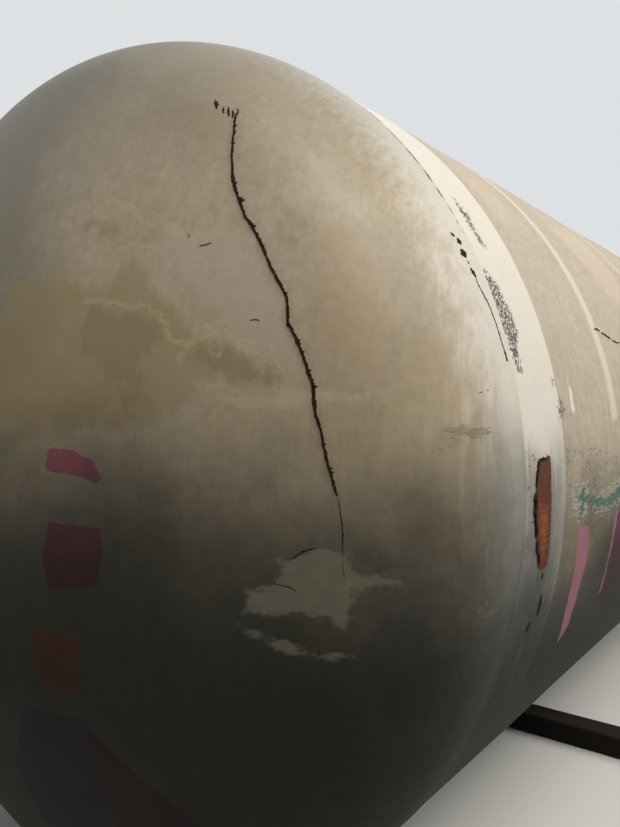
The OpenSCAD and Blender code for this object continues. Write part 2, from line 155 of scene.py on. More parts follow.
def near_lines(u, v, lines):
    """Gives the distance in mm from the nearest of several lines."""
    return np.minimum.reduce([near_line(u, v, line) for line in lines])


def patches(u, v, outlines):
    """Gives the distance in mm to the edge of the nearest mark, positive inside it."""
    best = np.full(u.shape, -400.0)
    for corners in outlines:
        gap = near_line(u, v, corners + corners[:1])
        inside = np.zeros(u.shape, dtype=bool)
        for (u0, v0), (u1, v1) in zip(corners, corners[1:] + corners[:1]):
            over = (v0 > v) != (v1 > v)
            inside ^= over & (u < u0 + (u1 - u0) * (v - v0) / ((v1 - v0) or 1e-9))
        best = np.maximum(best, np.where(inside, gap, -gap))
    return best


def dished_profile(crown_steps, knuckle_steps, inset):
    """Gives distance past the tangent line and radius, from the apex to the tangent line."""
    crown_a = join_angle * np.linspace(0, 1, crown_steps) ** 0.85
    knuckle_a = np.linspace(join_angle, math.pi / 2, knuckle_steps)[1:]
    crown = crown_r - inset
    knuckle = knuckle_r - inset
    out = np.concatenate([crown * np.cos(crown_a) - crown_back, knuckle * np.cos(knuckle_a)])
    rad = np.concatenate([crown * np.sin(crown_a), knuckle_c + knuckle * np.sin(knuckle_a)])
    return out, rad


def turned_angles(dense_from, dense_to, dense_count, coarse_count):
    """Gives angles round the tank, close together on the side that is seen from near by."""
    near = np.linspace(dense_from, dense_to, dense_count, endpoint=False)
    far = np.linspace(dense_to, dense_from + 360, coarse_count, endpoint=False)
    return np.radians(np.concatenate([near, far]))


def head_grid(angles, crown_steps, knuckle_steps, flange_steps):
    """Gives the near head's closed skin, outside then inside, as a grid of points."""
    out, rad = dished_profile(crown_steps, knuckle_steps, 0.0)
    back, back_rad = dished_profile(crown_steps // 6, knuckle_steps // 4, wall)
    land = np.linspace(0, -(flange_len - bevel_reach), flange_steps)[1:]
    out = np.concatenate([out, land, [-flange_len + root_face], back[::-1]])
    root_r = outer_r - wall + root_step
    rad = np.concatenate([rad, np.full(len(land), outer_r), [root_r], back_rad[::-1]])
    x = near_tangent - out[:, None] + 0 * angles[None, :]
    y = -rad[:, None] * np.cos(angles)[None, :]
    z = rad[:, None] * np.sin(angles)[None, :]
    outside = crown_steps + knuckle_steps - 1
    fade = np.clip((outer_r + 0.02 - rad) / 0.2, 0, 1)[:, None]
    push = np.where(np.arange(len(out))[:, None] < outside, swell(x * 1.3, y, z) * fade, 0)
    return np.stack([x - push, y, z + axis_z], -1), -y * 1000, z * 1000


head_crack = [
    (744, 812), (748, 792), (759, 754), (770, 708), (782, 665), (790, 640), (806, 606), (829, 563),
    (850, 533), (876, 491), (897, 448), (914, 419), (933, 386), (936, 366), (940, 338), (961, 300),
    (978, 257), (990, 223), (993, 202), (997, 168), (1006, 138), (1014, 100), (1023, 60), (1035, 8),
]
head_marks = {
    "tan": [[(930, 575), (1010, 560), (1095, 440), (1120, 320), (1105, 225), (1010, 228),
        (968, 320), (945, 440)]],
    # Painted shade over the left of the head.
    "shade": [[(-400, 1300), (560, 1300), (470, 900), (500, 560), (560, 300), (460, 0),
        (-400, -200)]],
    "scrape": [[(640, 560), (760, 560), (860, 500), (930, 400), (985, 260), (1045, 200),
        (1020, 170), (985, 165), (935, 155), (870, 170), (800, 195), (805, 222), (885, 203),
        (945, 208), (962, 225), (930, 257), (885, 292), (825, 327), (755, 368), (700, 425),
        (668, 480), (648, 515)]],
    "band": [[(795, 210), (870, 204), (920, 204), (965, 222), (990, 212), (1060, 206),
        (1105, 196), (1090, 182), (1020, 172), (980, 165), (935, 160), (870, 170), (830, 180)]],
    "stain": [[(250, 500), (365, 480), (545, 455), (575, 475), (640, 505), (665, 475),
        (695, 420), (725, 390), (755, 365), (785, 335), (845, 310), (885, 285), (915, 265),
        (940, 240), (960, 225), (945, 210), (885, 205), (805, 220), (800, 180), (725, 145),
        (645, 120), (560, 130), (440, 100), (250, 90)]],
    "deep": [
        [(520, 405), (555, 405), (605, 390), (645, 385), (680, 370), (705, 350), (712, 320),
         (690, 290), (680, 255), (665, 205), (630, 230), (595, 215), (515, 300), (495, 355)],
        [(750, 280), (765, 300), (805, 312), (825, 315), (860, 295), (895, 270), (930, 250),
         (960, 225), (915, 213), (830, 220), (795, 250), (755, 265)],
        [(465, 615), (540, 590), (580, 565), (575, 525), (530, 530), (450, 575)],
        [(600, 300), (628, 300), (622, 250), (604, 252)],
        [(640, 200), (656, 200), (650, 150), (636, 150)],
    ],
    "smear": [[(1174, 130), (1190, 142), (1212, 138), (1227, 127), (1220, 113), (1195, 113),
        (1178, 122)]],
    "smudge": [
        [(1016, -66), (1100, -72), (1156, -108), (1134, -142), (1064, -130), (1050, -96)],
        [(1056, -186), (1140, -180), (1168, -260), (1178, -340), (1150, -430), (1090, -468),
         (1046, -440), (1066, -360), (1046, -290), (1060, -240)],
        [(900, -575), (990, -590), (1010, -700), (960, -690), (930, -620)],
    ],
    "putty": [
        [(861, -212), (868, -165), (924, -151), (933, -130), (928, -106), (960, -97),
         (1005, -79), (1052, -94), (1059, -129), (1131, -151), (1126, -165), (1059, -166),
         (1056, -205), (1036, -248), (1005, -224), (960, -214), (905, -228)],
        [(848, -236), (875, -240), (905, -252), (960, -268), (1045, -286), (1052, -300),
         (1005, -304), (940, -294), (885, -274)],
        [(1200, -215), (1213, -205), (1212, -238), (1203, -262), (1196, -250)],
    ],
    "pink": [
        [(452, 100), (520, 97), (575, 73), (594, 42), (584, 24), (556, 38), (516, 46), (450, 50)],
        [(455, -56), (588, -60), (592, -120), (566, -184), (440, -204), (430, -130)],
    ],
    "orange": [[(372, -291), (508, -300), (492, -370), (470, -440), (358, -426)]],
    "panel": [[(290, -492), (482, -490), (470, -640), (440, -760), (424, -870), (150, -870),
        (150, -700)]],
    "red": [[(466, -500), (700, -735), (790, -830), (436, -870), (448, -730)]],
}
tide_lines = [
    [(515, 405), (555, 405), (625, 385), (660, 385), (685, 370), (710, 345), (720, 315),
     (735, 305), (765, 305), (790, 315), (800, 325), (785, 345)],
    [(800, 310), (805, 290), (820, 275)], [(745, 275), (755, 290), (765, 300)],
    [(825, 328), (865, 303), (895, 278), (930, 258)],
    [(460, 665), (510, 640), (550, 615), (590, 590), (615, 570), (640, 555)],
    [(525, 620), (570, 615), (600, 580)], [(565, 510), (600, 520), (650, 510)],
]


def head_fields(u, v):
    """Places the marks on the near head; u runs to the right of its centre and v up, in mm."""
    past_knuckle = np.maximum(np.hypot(u, v) / 1000 - knuckle_c, 0)
    out = 1000 * np.sqrt(np.maximum(knuckle_r ** 2 - past_knuckle ** 2, 0))
    fields = {name: patches(u, v, outlines) for name, outlines in head_marks.items()}
    # Wiped paint round the knuckle, whitened further as a painted sheen.
    fields["wiped_paint_and_sheen"] = np.minimum(200 - out, (v + 760) * 0.5)
    fields["tide"] = 9 - near_lines(u, v, tide_lines)
    fields["rust"] = 20 - near_line(u, v, head_crack)
    return fields


def grimed_and_shaded(tree, place, colour, gloss, grime_and_shade_film, waist=0.0):
    """Darkens and cools a colour below the waist, most at the near end and towards +Y, as grime and
    painted shade; the film argument is what is left of the colour there.
    """
    cloud = add(tree, "TexNoise", {"Vector": place, "Scale": 1000 / 420, "Detail": 5.0,
                                   "Roughness": 0.6})
    murk = add(tree, "TexNoise", {"Vector": place, "Scale": 1000 / 260, "Detail": 4.0,
                                  "Roughness": 0.6})
    spot = add(tree, "SeparateXYZ", {0: place})
    level = spot.outputs["Z"]
    sway = add(tree, "MapRange", {0: cloud.outputs["Fac"], 1: 0.3, 2: 0.7, 3: -0.12,
                                  4: 0.12}).outputs[0]
    level = add(tree, "Math", {0: level, 1: sway}, operation="ADD").outputs[0]
    # The waist rises towards +Y, which paints shade on that side.
    lean = add(tree, "Math", {0: spot.outputs["Y"], 1: -0.12, 2: -0.1},
               operation="MULTIPLY_ADD").outputs[0]
    level = add(tree, "Math", {0: level, 1: lean}, operation="ADD").outputs[0]
    below = add(tree, "MapRange", {0: level, 1: axis_z + waist + 0.3, 2: axis_z + waist - 0.4,
                                   3: 0.0, 4: 1.0},
                interpolation_type="SMOOTHSTEP")
    murk = add(tree, "MapRange", {0: murk.outputs["Fac"], 1: 0.25, 2: 0.75, 3: 0.86, 4: 1.0})
    grime_and_shade = add(tree, "Math", {0: below.outputs[0], 1: murk.outputs[0]},
                operation="MULTIPLY").outputs[0]
    along = add(tree, "MapRange", {0: spot.outputs["X"], 1: near_tangent + 0.9,
                                   2: near_tangent + 3.2, 3: 1.0,
                                   4: 0.5}, interpolation_type="SMOOTHSTEP").outputs[0]
    grime_and_shade = add(tree, "Math", {0: grime_and_shade, 1: along}, operation="MULTIPLY").outputs[0]
    shade = add(tree, "Math", {0: grime_and_shade_film, 1: grime_and_shade}, operation="POWER").outputs[0]
    # Painted shade: the darkening turns cool, as shade lit by the sky does.
    tint = add(tree, "Mix", {0: grime_and_shade, 6: (1.0, 1.0, 1.0, 1.0), 7: linear("#e4f0ee")},
               data_type="RGBA").outputs[2]
    for darker in (shade, tint):
        colour = add(tree, "Mix", {0: 1.0, 6: colour, 7: darker}, data_type="RGBA",
                     blend_type="MULTIPLY").outputs[2]
    gloss = add(tree, "Mix", {0: grime_and_shade, 2: gloss, 3: 0.9}).outputs[0]
    return colour, gloss


def weathered_enamel(name, base, marks=(), fresh=(), veil="#9a8b69", tide=0.2, streak_mm=9,
                     streaky=0.3, rough=0.4, grime_and_shade_film=0.09, waist=0.0, top_shade=0.0, chips=0.0):
    """Builds aged enamel on steel: veiled by dust that rain has dried on it, with marks over it.

    A mark is field, colour, roughness, edge in mm, raggedness in mm, the grain's size in mm
    along X, Y and Z, its strength, and how pale its rim is. The field is a distance in mm
    that the mesh carries at its points. Fresh marks lie over the grime and painted shade below
    the waist, the others under it. The top setting darkens the enamel towards the top as painted
    shade.
    """
    made, tree = new_material(name)
    place = add(tree, "TexCoord").outputs["Object"]
    cloud = add(tree, "TexNoise", {"Vector": place, "Scale": 1000 / 420, "Detail": 5.0,
                                   "Roughness": 0.6})
    tone = add(tree, "MapRange", {0: cloud.outputs["Fac"], 1: 0.3, 2: 0.7, 3: 0.0, 4: 1.0})
    colour = add(tree, "Mix", {0: tone.outputs[0], 6: linear(base[0]), 7: linear(base[1])},
                 data_type="RGBA").outputs[2]
    fine = add(tree, "TexNoise", {"Vector": place, "Scale": 1000 / 26, "Detail": 5.0,
                                  "Roughness": 0.66})
    for size, seed in ((330, 0.0), (190, 7.0)):
        at = add(tree, "Mapping", {"Vector": place, "Location": (seed, seed, seed)})
        drift = add(tree, "TexNoise", {"Vector": at.outputs[0], "Scale": 1000 / size, "Detail": 6.0,
                                       "Roughness": 0.52, "Distortion": 0.7})
        over = add(tree, "MapRange", {0: drift.outputs["Fac"], 1: 0.46, 2: 0.6, 3: 0.0, 4: tide})
        colour = add(tree, "Mix", {0: over.outputs[0], 6: colour, 7: linear(veil)},
                     data_type="RGBA").outputs[2]
        off = add(tree, "Math", {0: drift.outputs["Fac"], 1: 0.507},
                  operation="SUBTRACT").outputs[0]
        off = add(tree, "Math", {0: off}, operation="ABSOLUTE").outputs[0]
        line = add(tree, "MapRange", {0: off, 1: 0.0, 2: 0.012, 3: 0.35 * tide, 4: 0.0}).outputs[0]
        broken = add(tree, "MapRange", {0: fine.outputs["Fac"], 1: 0.4, 2: 0.6, 3: 0.0,
                                        4: 1.0}).outputs[0]
        line = add(tree, "Math", {0: line, 1: broken}, operation="MULTIPLY").outputs[0]
        colour = add(tree, "Mix", {0: line, 6: colour, 7: linear("#cbbfa8")},
                     data_type="RGBA").outputs[2]
    wash = add(tree, "Mapping", {"Vector": place,
                                 "Scale": (1000 / streak_mm, 1000 / streak_mm, 1.6)})
    streak = add(tree, "TexNoise", {"Vector": wash.outputs[0], "Scale": 1.0, "Detail": 4.0,
                                    "Roughness": 0.65})
    thin = add(tree, "MapRange", {0: streak.outputs["Fac"], 1: 0.42, 2: 0.74, 3: 0.0, 4: streaky})
    colour = add(tree, "Mix", {0: thin.outputs[0], 6: colour, 7: linear("#6f6a58")},
                 data_type="RGBA").outputs[2]
    cloudy = add(tree, "MapRange", {0: fine.outputs["Fac"], 1: 0.38, 2: 0.66, 3: 0.0, 4: 0.34})
    colour = add(tree, "Mix", {0: cloudy.outputs[0], 6: colour, 7: linear("#857a66")},
                 data_type="RGBA").outputs[2]
    gloss = add(tree, "MapRange", {0: cloud.outputs["Fac"], 1: 0.3, 2: 0.7, 3: rough - 0.06,
                                   4: rough + 0.12}).outputs[0]
    relief = add(tree, "Math", {0: streak.outputs["Fac"], 1: 0.15}, operation="MULTIPLY").outputs[0]
    for mark in (*marks, None, *fresh):
        if mark is None:
            colour, gloss = grimed_and_shaded(tree, place, colour, gloss, grime_and_shade_film, waist)
            continue
        field, shade, mark_rough, edge, ragged, grain, strength, rim = mark
        inside = add(tree, "Attribute", attribute_name=field).outputs["Fac"]
        size = tuple(1000 / g for g in grain)
        tear_at = add(tree, "Mapping", {"Vector": place, "Scale": size})
        tear = add(tree, "TexNoise", {"Vector": tear_at.outputs[0], "Scale": 1.0, "Detail": 3.0,
                                      "Roughness": 0.68})
        shift = add(tree, "MapRange", {0: tear.outputs["Fac"], 1: 0.25, 2: 0.75, 3: -ragged,
                                       4: ragged},
                    clamp=False).outputs[0]
        torn = add(tree, "Math", {0: inside, 1: shift}, operation="ADD").outputs[0]
        mask = add(tree, "MapRange", {0: torn, 1: 0.0, 2: edge, 3: 0.0, 4: strength},
                   interpolation_type="SMOOTHSTEP").outputs[0]
        vary = add(tree, "Mix", {0: tear.outputs["Fac"], 6: linear(shade[0]), 7: linear(shade[1])},
                   data_type="RGBA").outputs[2]
        colour = add(tree, "Mix", {0: mask, 6: colour, 7: vary}, data_type="RGBA").outputs[2]
        if rim:
            away = add(tree, "Math", {0: torn}, operation="ABSOLUTE").outputs[0]
            pale = add(tree, "MapRange", {0: away, 1: 0.0, 2: 7.0, 3: rim, 4: 0.0}).outputs[0]
            pale = add(tree, "Math", {0: pale, 1: fine.outputs["Fac"]},
                       operation="MULTIPLY").outputs[0]
            colour = add(tree, "Mix", {0: pale, 6: colour, 7: linear("#d2c6ae")},
                         data_type="RGBA").outputs[2]
        gloss = add(tree, "Mix", {0: mask, 2: gloss, 3: mark_rough}).outputs[0]
        relief = add(tree, "Math", {0: relief, 1: mask}, operation="ADD").outputs[0]
    # Painted shade: the enamel darkens towards the top of the tank.
    if top_shade:
        level = add(tree, "SeparateXYZ", {0: place}).outputs["Z"]
        above = add(tree, "MapRange", {0: level, 1: axis_z + 0.6, 2: axis_z + 1.15, 3: 0.0,
                                       4: top_shade})
        colour = add(tree, "Mix", {0: above.outputs[0], 6: colour, 7: linear("#6d6a60")},
                     data_type="RGBA").outputs[2]
    if chips:
        bite = add(tree, "TexNoise", {"Vector": place, "Scale": 1000 / 34, "Detail": 8.0,
                                      "Roughness": 0.7})
        bare = add(tree, "MapRange", {0: bite.outputs["Fac"], 1: 0.7 - chips, 2: 0.74 - chips,
                                      3: 0.0, 4: 0.9})
        bleed = add(tree, "MapRange", {0: bite.outputs["Fac"], 1: 0.58 - chips, 2: 0.72 - chips,
                                       3: 0.0, 4: 0.45})
        colour = add(tree, "Mix", {0: bleed.outputs[0], 6: colour, 7: linear("#9a7446")},
                     data_type="RGBA").outputs[2]
        colour = add(tree, "Mix", {0: bare.outputs[0], 6: colour, 7: linear("#4f2c17")},
                     data_type="RGBA").outputs[2]
        gloss = add(tree, "Mix", {0: bare.outputs[0], 2: gloss, 3: 0.85}).outputs[0]
        relief = add(tree, "Math", {0: relief, 1: bare.outputs[0]}, operation="SUBTRACT").outputs[0]
    grit = add(tree, "TexNoise", {"Vector": place, "Scale": 1000 / 7, "Detail": 3.0,
                                  "Roughness": 0.6})
    speck = add(tree, "MapRange", {0: grit.outputs["Fac"], 1: 0.66, 2: 0.74, 3: 0.0, 4: 0.5})
    colour = add(tree, "Mix", {0: speck.outputs[0], 6: colour, 7: linear("#5b4e3b")},
                 data_type="RGBA").outputs[2]
    peel = add(tree, "Math", {0: grit.outputs["Fac"], 1: 0.25}, operation="MULTIPLY").outputs[0]
    relief = add(tree, "Math", {0: relief, 1: peel}, operation="ADD").outputs[0]
    bump = add(tree, "Bump", {"Strength": 0.5, "Distance": 0.0009, "Height": relief})
    skin = add(tree, "BsdfPrincipled", {
        "Base Color": colour, "Roughness": gloss, "Specular IOR Level": 0.28,
        "Normal": bump.outputs[0]})
    add(tree, "OutputMaterial", {"Surface": skin.outputs[0]})
    return made


near_angles = turned_angles(-72, 78, 270, 170)
head_points, head_u, head_v = head_grid(near_angles, crown_steps=124, knuckle_steps=50,
                                        flange_steps=5)
near_head = shut_skin("near_head_skin", head_points, fields=head_fields(head_u, head_v))
head_enamel = weathered_enamel("weathered_cream_enamel_head", ("#bbac98", "#ac9d86"), [
    ("tan", ("#b09a78", "#a8916c"), 0.5, 60, 40, (90, 60, 70), 0.5, 0.0),
    # Painted shade over the left of the head.
    ("shade", ("#6b6657", "#777162"), 0.5, 300, 60, (200, 160, 160), 0.8, 0.0),
    ("scrape", ("#b9a897", "#ad9d8c"), 0.55, 40, 22, (70, 50, 60), 0.5, 0.0),
    ("stain", ("#8f7d54", "#9c8961"), 0.5, 34, 18, (50, 34, 60), 0.6, 0.16),
    ("deep", ("#786a4d", "#857658"), 0.5, 26, 24, (40, 26, 60), 0.42, 0.0),
    ("band", ("#c0b29b", "#b5a78f"), 0.55, 16, 10, (50, 30, 18), 0.45, 0.0),
    ("tide", ("#bbae8e", "#ab9d7a"), 0.55, 9, 7, (14, 10, 10), 0.6, 0.0),
    # Wiped paint on the knuckle with a painted sheen over it.
    ("wiped_paint_and_sheen", ("#dcd6ca", "#c7c3b9"), 0.34, 200, 66, (34, 14, 150), 0.85, 0.0),
    ("smear", ("#6f6740", "#8a8258"), 0.5, 8, 14, (24, 30, 5), 0.7, 0.0),
    ("smudge", ("#5c5e5c", "#7a7b76"), 0.45, 30, 24, (90, 80, 70), 0.55, 0.0),
    ("pink", ("#a84a66", "#98435b"), 0.4, 2, 4, (30, 30, 30), 0.85, 0.0),
    ("orange", ("#d8854a", "#c87038"), 0.45, 2, 2, (40, 30, 30), 0.9, 0.0),
    ("panel", ("#565f5c", "#4e5654"), 0.45, 2, 3, (40, 30, 30), 0.8, 0.0),
    ("red", ("#6a2c2e", "#7a3434"), 0.45, 2, 3, (40, 30, 30), 0.9, 0.0),
    ("rust", ("#6f5334", "#8f7350"), 0.6, 24, 16, (24, 20, 20), 0.22, 0.0),
], [
    ("putty", ("#868270", "#5f5b4d"), 0.62, 14, 14, (60, 40, 24), 0.8, 0.0),
], veil="#a3936f", tide=0.3, streaky=0.14, grime_and_shade_film=0.064, top_shade=0.8)
near_head.data.materials.append(head_enamel)
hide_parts("near_head")

# Crack down the near head. The plate's coat has split from the crown to the waist and the
# edges have rusted and curled, which leaves a dark ragged ridge a few millimetres high.
crack_step = 0.0025
least_half, root_depth = 0.0002, 0.0025


def on_head(u, v):
    """Gives the point and the outward normal on the near head, for mm from its centre."""
    y, z = -u / 1000, v / 1000
    rad = math.hypot(y, z)
    if rad < crown_r * math.sin(join_angle):
        out = math.sqrt(crown_r ** 2 - rad ** 2) - crown_back
        normal = Vector((-(out + crown_back), y, z)).normalized()
    else:
        rise = min(1.0, (rad - knuckle_c) / knuckle_r)
        out = knuckle_r * math.sqrt(1 - rise ** 2)
        normal = Vector((-out, y * rise * knuckle_r / rad, z * rise * knuckle_r / rad)).normalized()
    return Vector((near_tangent - out, y, axis_z + z)), normal


def on_shell(u, v):
    """Gives the point and the normal on the shell, for mm past the tangent line and up the side."""
    turn = v / 1000 / outer_r
    out = max(0.0, -u / 1000)
    across = math.sqrt(knuckle_r ** 2 - out ** 2)
    normal = Vector((-out / knuckle_r, -math.cos(turn) * across / knuckle_r,
                     math.sin(turn) * across / knuckle_r))
    round_it = Vector((0, -math.cos(turn), math.sin(turn)))
    return Vector((near_tangent + u / 1000, 0, axis_z)) + round_it * (knuckle_c + across), normal


def rough_ridge(name, line, place, wide, high, seed, wander):
    """Makes a ragged raised strip along a line of points in mm, laid on a surface."""
    roll = np.random.default_rng(seed)
    spots = [place(u, v) for u, v in line]
    walk = []
    for (a, up_a), (b, up_b) in zip(spots[:-1], spots[1:]):
        count = max(2, int((b - a).length / crack_step))
        for k in range(count):
            t = k / count
            walk.append((a.lerp(b, t), up_a.lerp(up_b, t).normalized(), (b - a).normalized()))
    drift = np.cumsum(roll.normal(0, wander * 0.25, len(walk)))
    drift -= np.linspace(drift[0], drift[-1], len(walk))
    body = np.abs(np.convolve(roll.normal(0, 1, len(walk) + 8), np.ones(9) / 3, "valid"))
    rings = []
    for k, (spot, up, ahead) in enumerate(walk):
        side = up.cross(ahead).normalized()
        ends = math.sqrt(min(1.0, k / 6, (len(walk) - 1 - k) / 6))
        left, right = (wide * (0.35 + 0.5 * body[at] + 0.45 * roll.random()) * ends + least_half
                       for at in (k, len(walk) - 1 - k))
        right *= 2.3 if roll.random() < 0.07 else 1.0
        tall = high * (0.5 + 0.9 * roll.random()) * ends
        mid = spot + side * float(drift[k])
        rings.append([
            mid - side * left, mid - side * left * 0.55 + up * tall, mid + up * tall * 0.25,
            mid + side * right * 0.55 + up * tall * 0.8, mid + side * right, mid - up * root_depth])
    grid = np.array([[tuple(p) for p in ring] for ring in rings])
    tip = grid.mean(axis=1, keepdims=True)
    grid = np.concatenate([tip[:1].repeat(6, 1), grid, tip[-1:].repeat(6, 1)])
    return shut_skin(name, grid, sharp=60)


def scaly_rust(name, dark, bright):
    """Builds flaking brown rust, dark in its pits and orange where it is fresh."""
    made, tree = new_material(name)
    place = add(tree, "TexCoord").outputs["Object"]
    scale = add(tree, "TexNoise", {"Vector": place, "Scale": 1000 / 6, "Detail": 8.0,
                                   "Roughness": 0.7})
    tone = add(tree, "MapRange", {0: scale.outputs["Fac"], 1: 0.42, 2: 0.66, 3: 0.0, 4: 1.0})
    colour = add(tree, "Mix", {0: tone.outputs[0], 6: linear(dark), 7: linear(bright)},
                 data_type="RGBA")
    bump = add(tree, "Bump", {"Strength": 0.9, "Distance": 0.0015, "Height": scale.outputs["Fac"]})
    skin = add(tree, "BsdfPrincipled", {"Base Color": colour.outputs[2], "Roughness": 0.85,
                                        "Specular IOR Level": 0.15, "Normal": bump.outputs[0]})
    add(tree, "OutputMaterial", {"Surface": skin.outputs[0]})
    return made


def lay_ridges(lines, place, finish):
    """Lays ragged ridges; a line is points, half width and height in mm, seed and wander in mm."""
    for name, (points, wide, high, seed, wander) in lines.items():
        ridge = rough_ridge(name, points, place, wide / 1000, high / 1000, seed, wander / 1000)
        ridge.data.materials.append(finish)


crack_rust = scaly_rust("scaly_brown_rust", "#120c07", "#3f2814")
lay_ridges({
    "head_crack": (head_crack, 3, 2.2, 11, 0.8),
    "head_crack_tail": ([(1035, 8), (1040, -30), (1042, -70), (1041, -150)], 0.9, 0.6, 12, 1),
    "head_crack_branch_1": ([(1000, -84), (978, -92), (962, -104), (951, -106)], 1.4, 0.7, 17, 1),
    "head_crack_branch_2": ([(924, -153), (950, -160), (968, -172)], 1.2, 0.6, 18, 1),
    "head_crack_tear_1": ([(686, 856), (694, 838), (700, 822)], 3, 2, 13, 1),
    "head_crack_tear_2": ([(712, 834), (716, 820), (722, 808)], 3, 2.2, 14, 1),
    "head_crack_tear_3": ([(722, 830), (729, 812), (735, 798)], 3.2, 2.2, 15, 1),
    "head_crack_tear_4": ([(733, 822), (739, 806), (743, 792)], 3.6, 1.8, 16, 1),
    "head_crack_tear_5": ([(740, 824), (747, 814), (750, 800)], 3, 1.8, 19, 1),
}, on_head, crack_rust)

# Chips on the near head. A few flakes of the coat are gone, which leaves short dark nicks, and
# a hair crack runs towards the weld.
chip_primer = scaly_rust("dark_chipped_primer", "#4f4535", "#75694f")
coat_chips = {
    "coat_chip_1": [(752, 505), (764, 506), (777, 510)],
    "coat_chip_2": [(724, 533), (726, 527), (728, 522)],
    "coat_chip_3": [(872, 346), (882, 347), (892, 344)],
    "coat_chip_4": [(1164, 86), (1166, 90), (1168, 94)],
    "coat_chip_5": [(1175, 91), (1177, 95), (1178, 99)],
    "coat_chip_6": [(1184, 95), (1186, 100), (1187, 104)],
    "hair_crack": [(1196, 195), (1208, 201), (1214, 205), (1222, 213)],
}
lay_ridges({name: (line, 0.8, 0.3, 60 + number, 1.2)
            for number, (name, line) in enumerate(coat_chips.items())}, on_head, chip_primer)

# Rust beside the near head's weld. Scale has lifted the paint in short broken runs along the
# weld and in a thin line that leaves it, and a hair crack crosses the shell further on.
lay_ridges({
    "weld_rust_1": ([(29, 1010), (29, 930)], 2.2, 1, 41, 0.6),
    "weld_rust_2": ([(28, 918), (28, 846)], 2.6, 1, 42, 0.6),
    "weld_rust_3": ([(28, 838), (29, 772)], 3, 1.2, 43, 0.6),
    "weld_rust_4": ([(29, 764), (29, 716)], 3.6, 1.2, 44, 0.6),
    "weld_rust_5": ([(29, 706), (30, 668)], 2.8, 1, 45, 0.6),
    "weld_rust_6": ([(30, 655), (31, 622)], 2, 0.8, 46, 0.6),
    "weld_rust_7": ([(31, 610), (32, 596)], 1.6, 0.8, 47, 0.6),
    "scale_spot_1": ([(-39, 562), (-26, 550)], 7, 2, 48, 0.6),
    "scale_spot_2": ([(-21, 551), (-16, 538), (-14, 530)], 10.5, 2.6, 49, 0.8),
    "scale_spot_3": ([(-26, 523), (-21, 508), (-18, 498)], 9.5, 2.6, 50, 0.8),
    "scale_spot_4": ([(-20, 495), (-17, 482)], 7.5, 2.4, 51, 0.6),
    "scale_spot_5": ([(-19, 478), (-15, 464), (-11, 450)], 11.5, 2.8, 52, 0.8),
    "rust_line": ([(-12, 456), (-13, 433), (3, 397), (12, 353), (15, 309), (19, 278)],
                  2.4, 1.2, 53, 0.8),
    "rust_line_end": ([(16, 294), (19, 280), (22, 265)], 6.2, 2.2, 54, 0.6),
    "patch_crust_1": ([(126, 56), (110, 30), (98, -6)], 4, 3, 58, 3),
    "patch_crust_2": ([(98, -12), (90, -50), (98, -84), (112, -118)], 7, 3.6, 59, 4),
    "patch_crust_3": ([(114, -124), (124, -150), (150, -184)], 5, 2.6, 35, 3),
    "patch_crust_4": ([(128, 57), (150, 52), (190, 58)], 3, 1.6, 36, 2),
    "patch_run_1": ([(178, -206), (184, -228)], 4, 1, 37, 2),
    "patch_run_2": ([(197, -262), (201, -292), (204, -322)], 7, 1.4, 38, 3),
    "patch_run_3": ([(162, -322), (156, -350)], 7, 1.4, 39, 3),
    "shell_hair_1": ([(752, 404), (775, 408), (811, 401)], 0.9, 0.6, 55, 0.6),
    "shell_hair_2": ([(820, 398), (841, 395), (876, 391), (905, 383)], 1.2, 0.6, 56, 0.8),
    "shell_hair_3": ([(915, 380), (970, 375), (1003, 381)], 0.9, 0.6, 57, 0.6),
}, on_shell, crack_rust)

# Shell courses. Each is a plate rolled to a tube and welded along its length, in the same
# enamel under a veil of dust, with grime and painted shade below the waist. The first has been
# wiped white next to the head, up to a masked edge, and carries a rust patch, black scuffs and
# the worn ends of two painted bars.
course_waist = 0.0012
tangent_mm = 1000 * near_tangent
course_marks = {
    "dust": [
        [(330, 900), (600, 960), (650, 800), (480, 620), (330, 640)],
        [(900, 900), (1500, 1000), (1500, 500), (1100, 520)],
        [(300, -88), (600, -98), (660, -190), (560, -300), (420, -262), (300, -180)],
    ],
    "patch": [[(108, 52), (142, 59), (196, 57), (196, -12), (202, -118), (204, -196),
        (172, -204), (139, -187), (120, -140), (104, -103), (92, -56), (101, -3)]],
    "fresh": [[(106, -20), (190, -44), (200, -118), (200, -190), (150, -188), (114, -110)]],
    "scratch": [[(384, 242), (397, 236), (399, 160), (378, 130), (372, 170)]],
    "tan": [[(309, -97), (697, -139), (740, -330), (560, -330), (414, -251), (318, -170)]],
    "green": [
        [(408, -62), (414, -32), (438, -32), (446, -60), (444, -104), (414, -108)],
        [(380, -56), (412, -48), (460, -58), (460, -76), (412, -72)],
        [(462, -60), (560, -78), (684, -84), (760, -66), (900, -50), (900, -80), (770, -102),
         (690, -116), (570, -106), (470, -84)],
    ],
    "pink": [
        [(398, -136), (450, -136), (495, -146), (521, -220), (511, -304), (519, -437),
         (478, -478), (452, -420), (425, -332), (423, -228)],
        [(745, -136), (776, -138), (770, -272), (782, -413), (762, -400), (755, -281)],
    ],
    "crimson": [[(757, -141), (789, -145), (900, -150), (975, -382), (866, -444), (770, -413),
        (761, -281)]],
}
fleck_marks = [
    [(40, 70), (108, 60), (98, -60), (110, -130), (60, -150), (20, -40)],
    [(305, 59), (621, 46), (746, 5), (749, -55), (566, -49), (309, -13)],
]
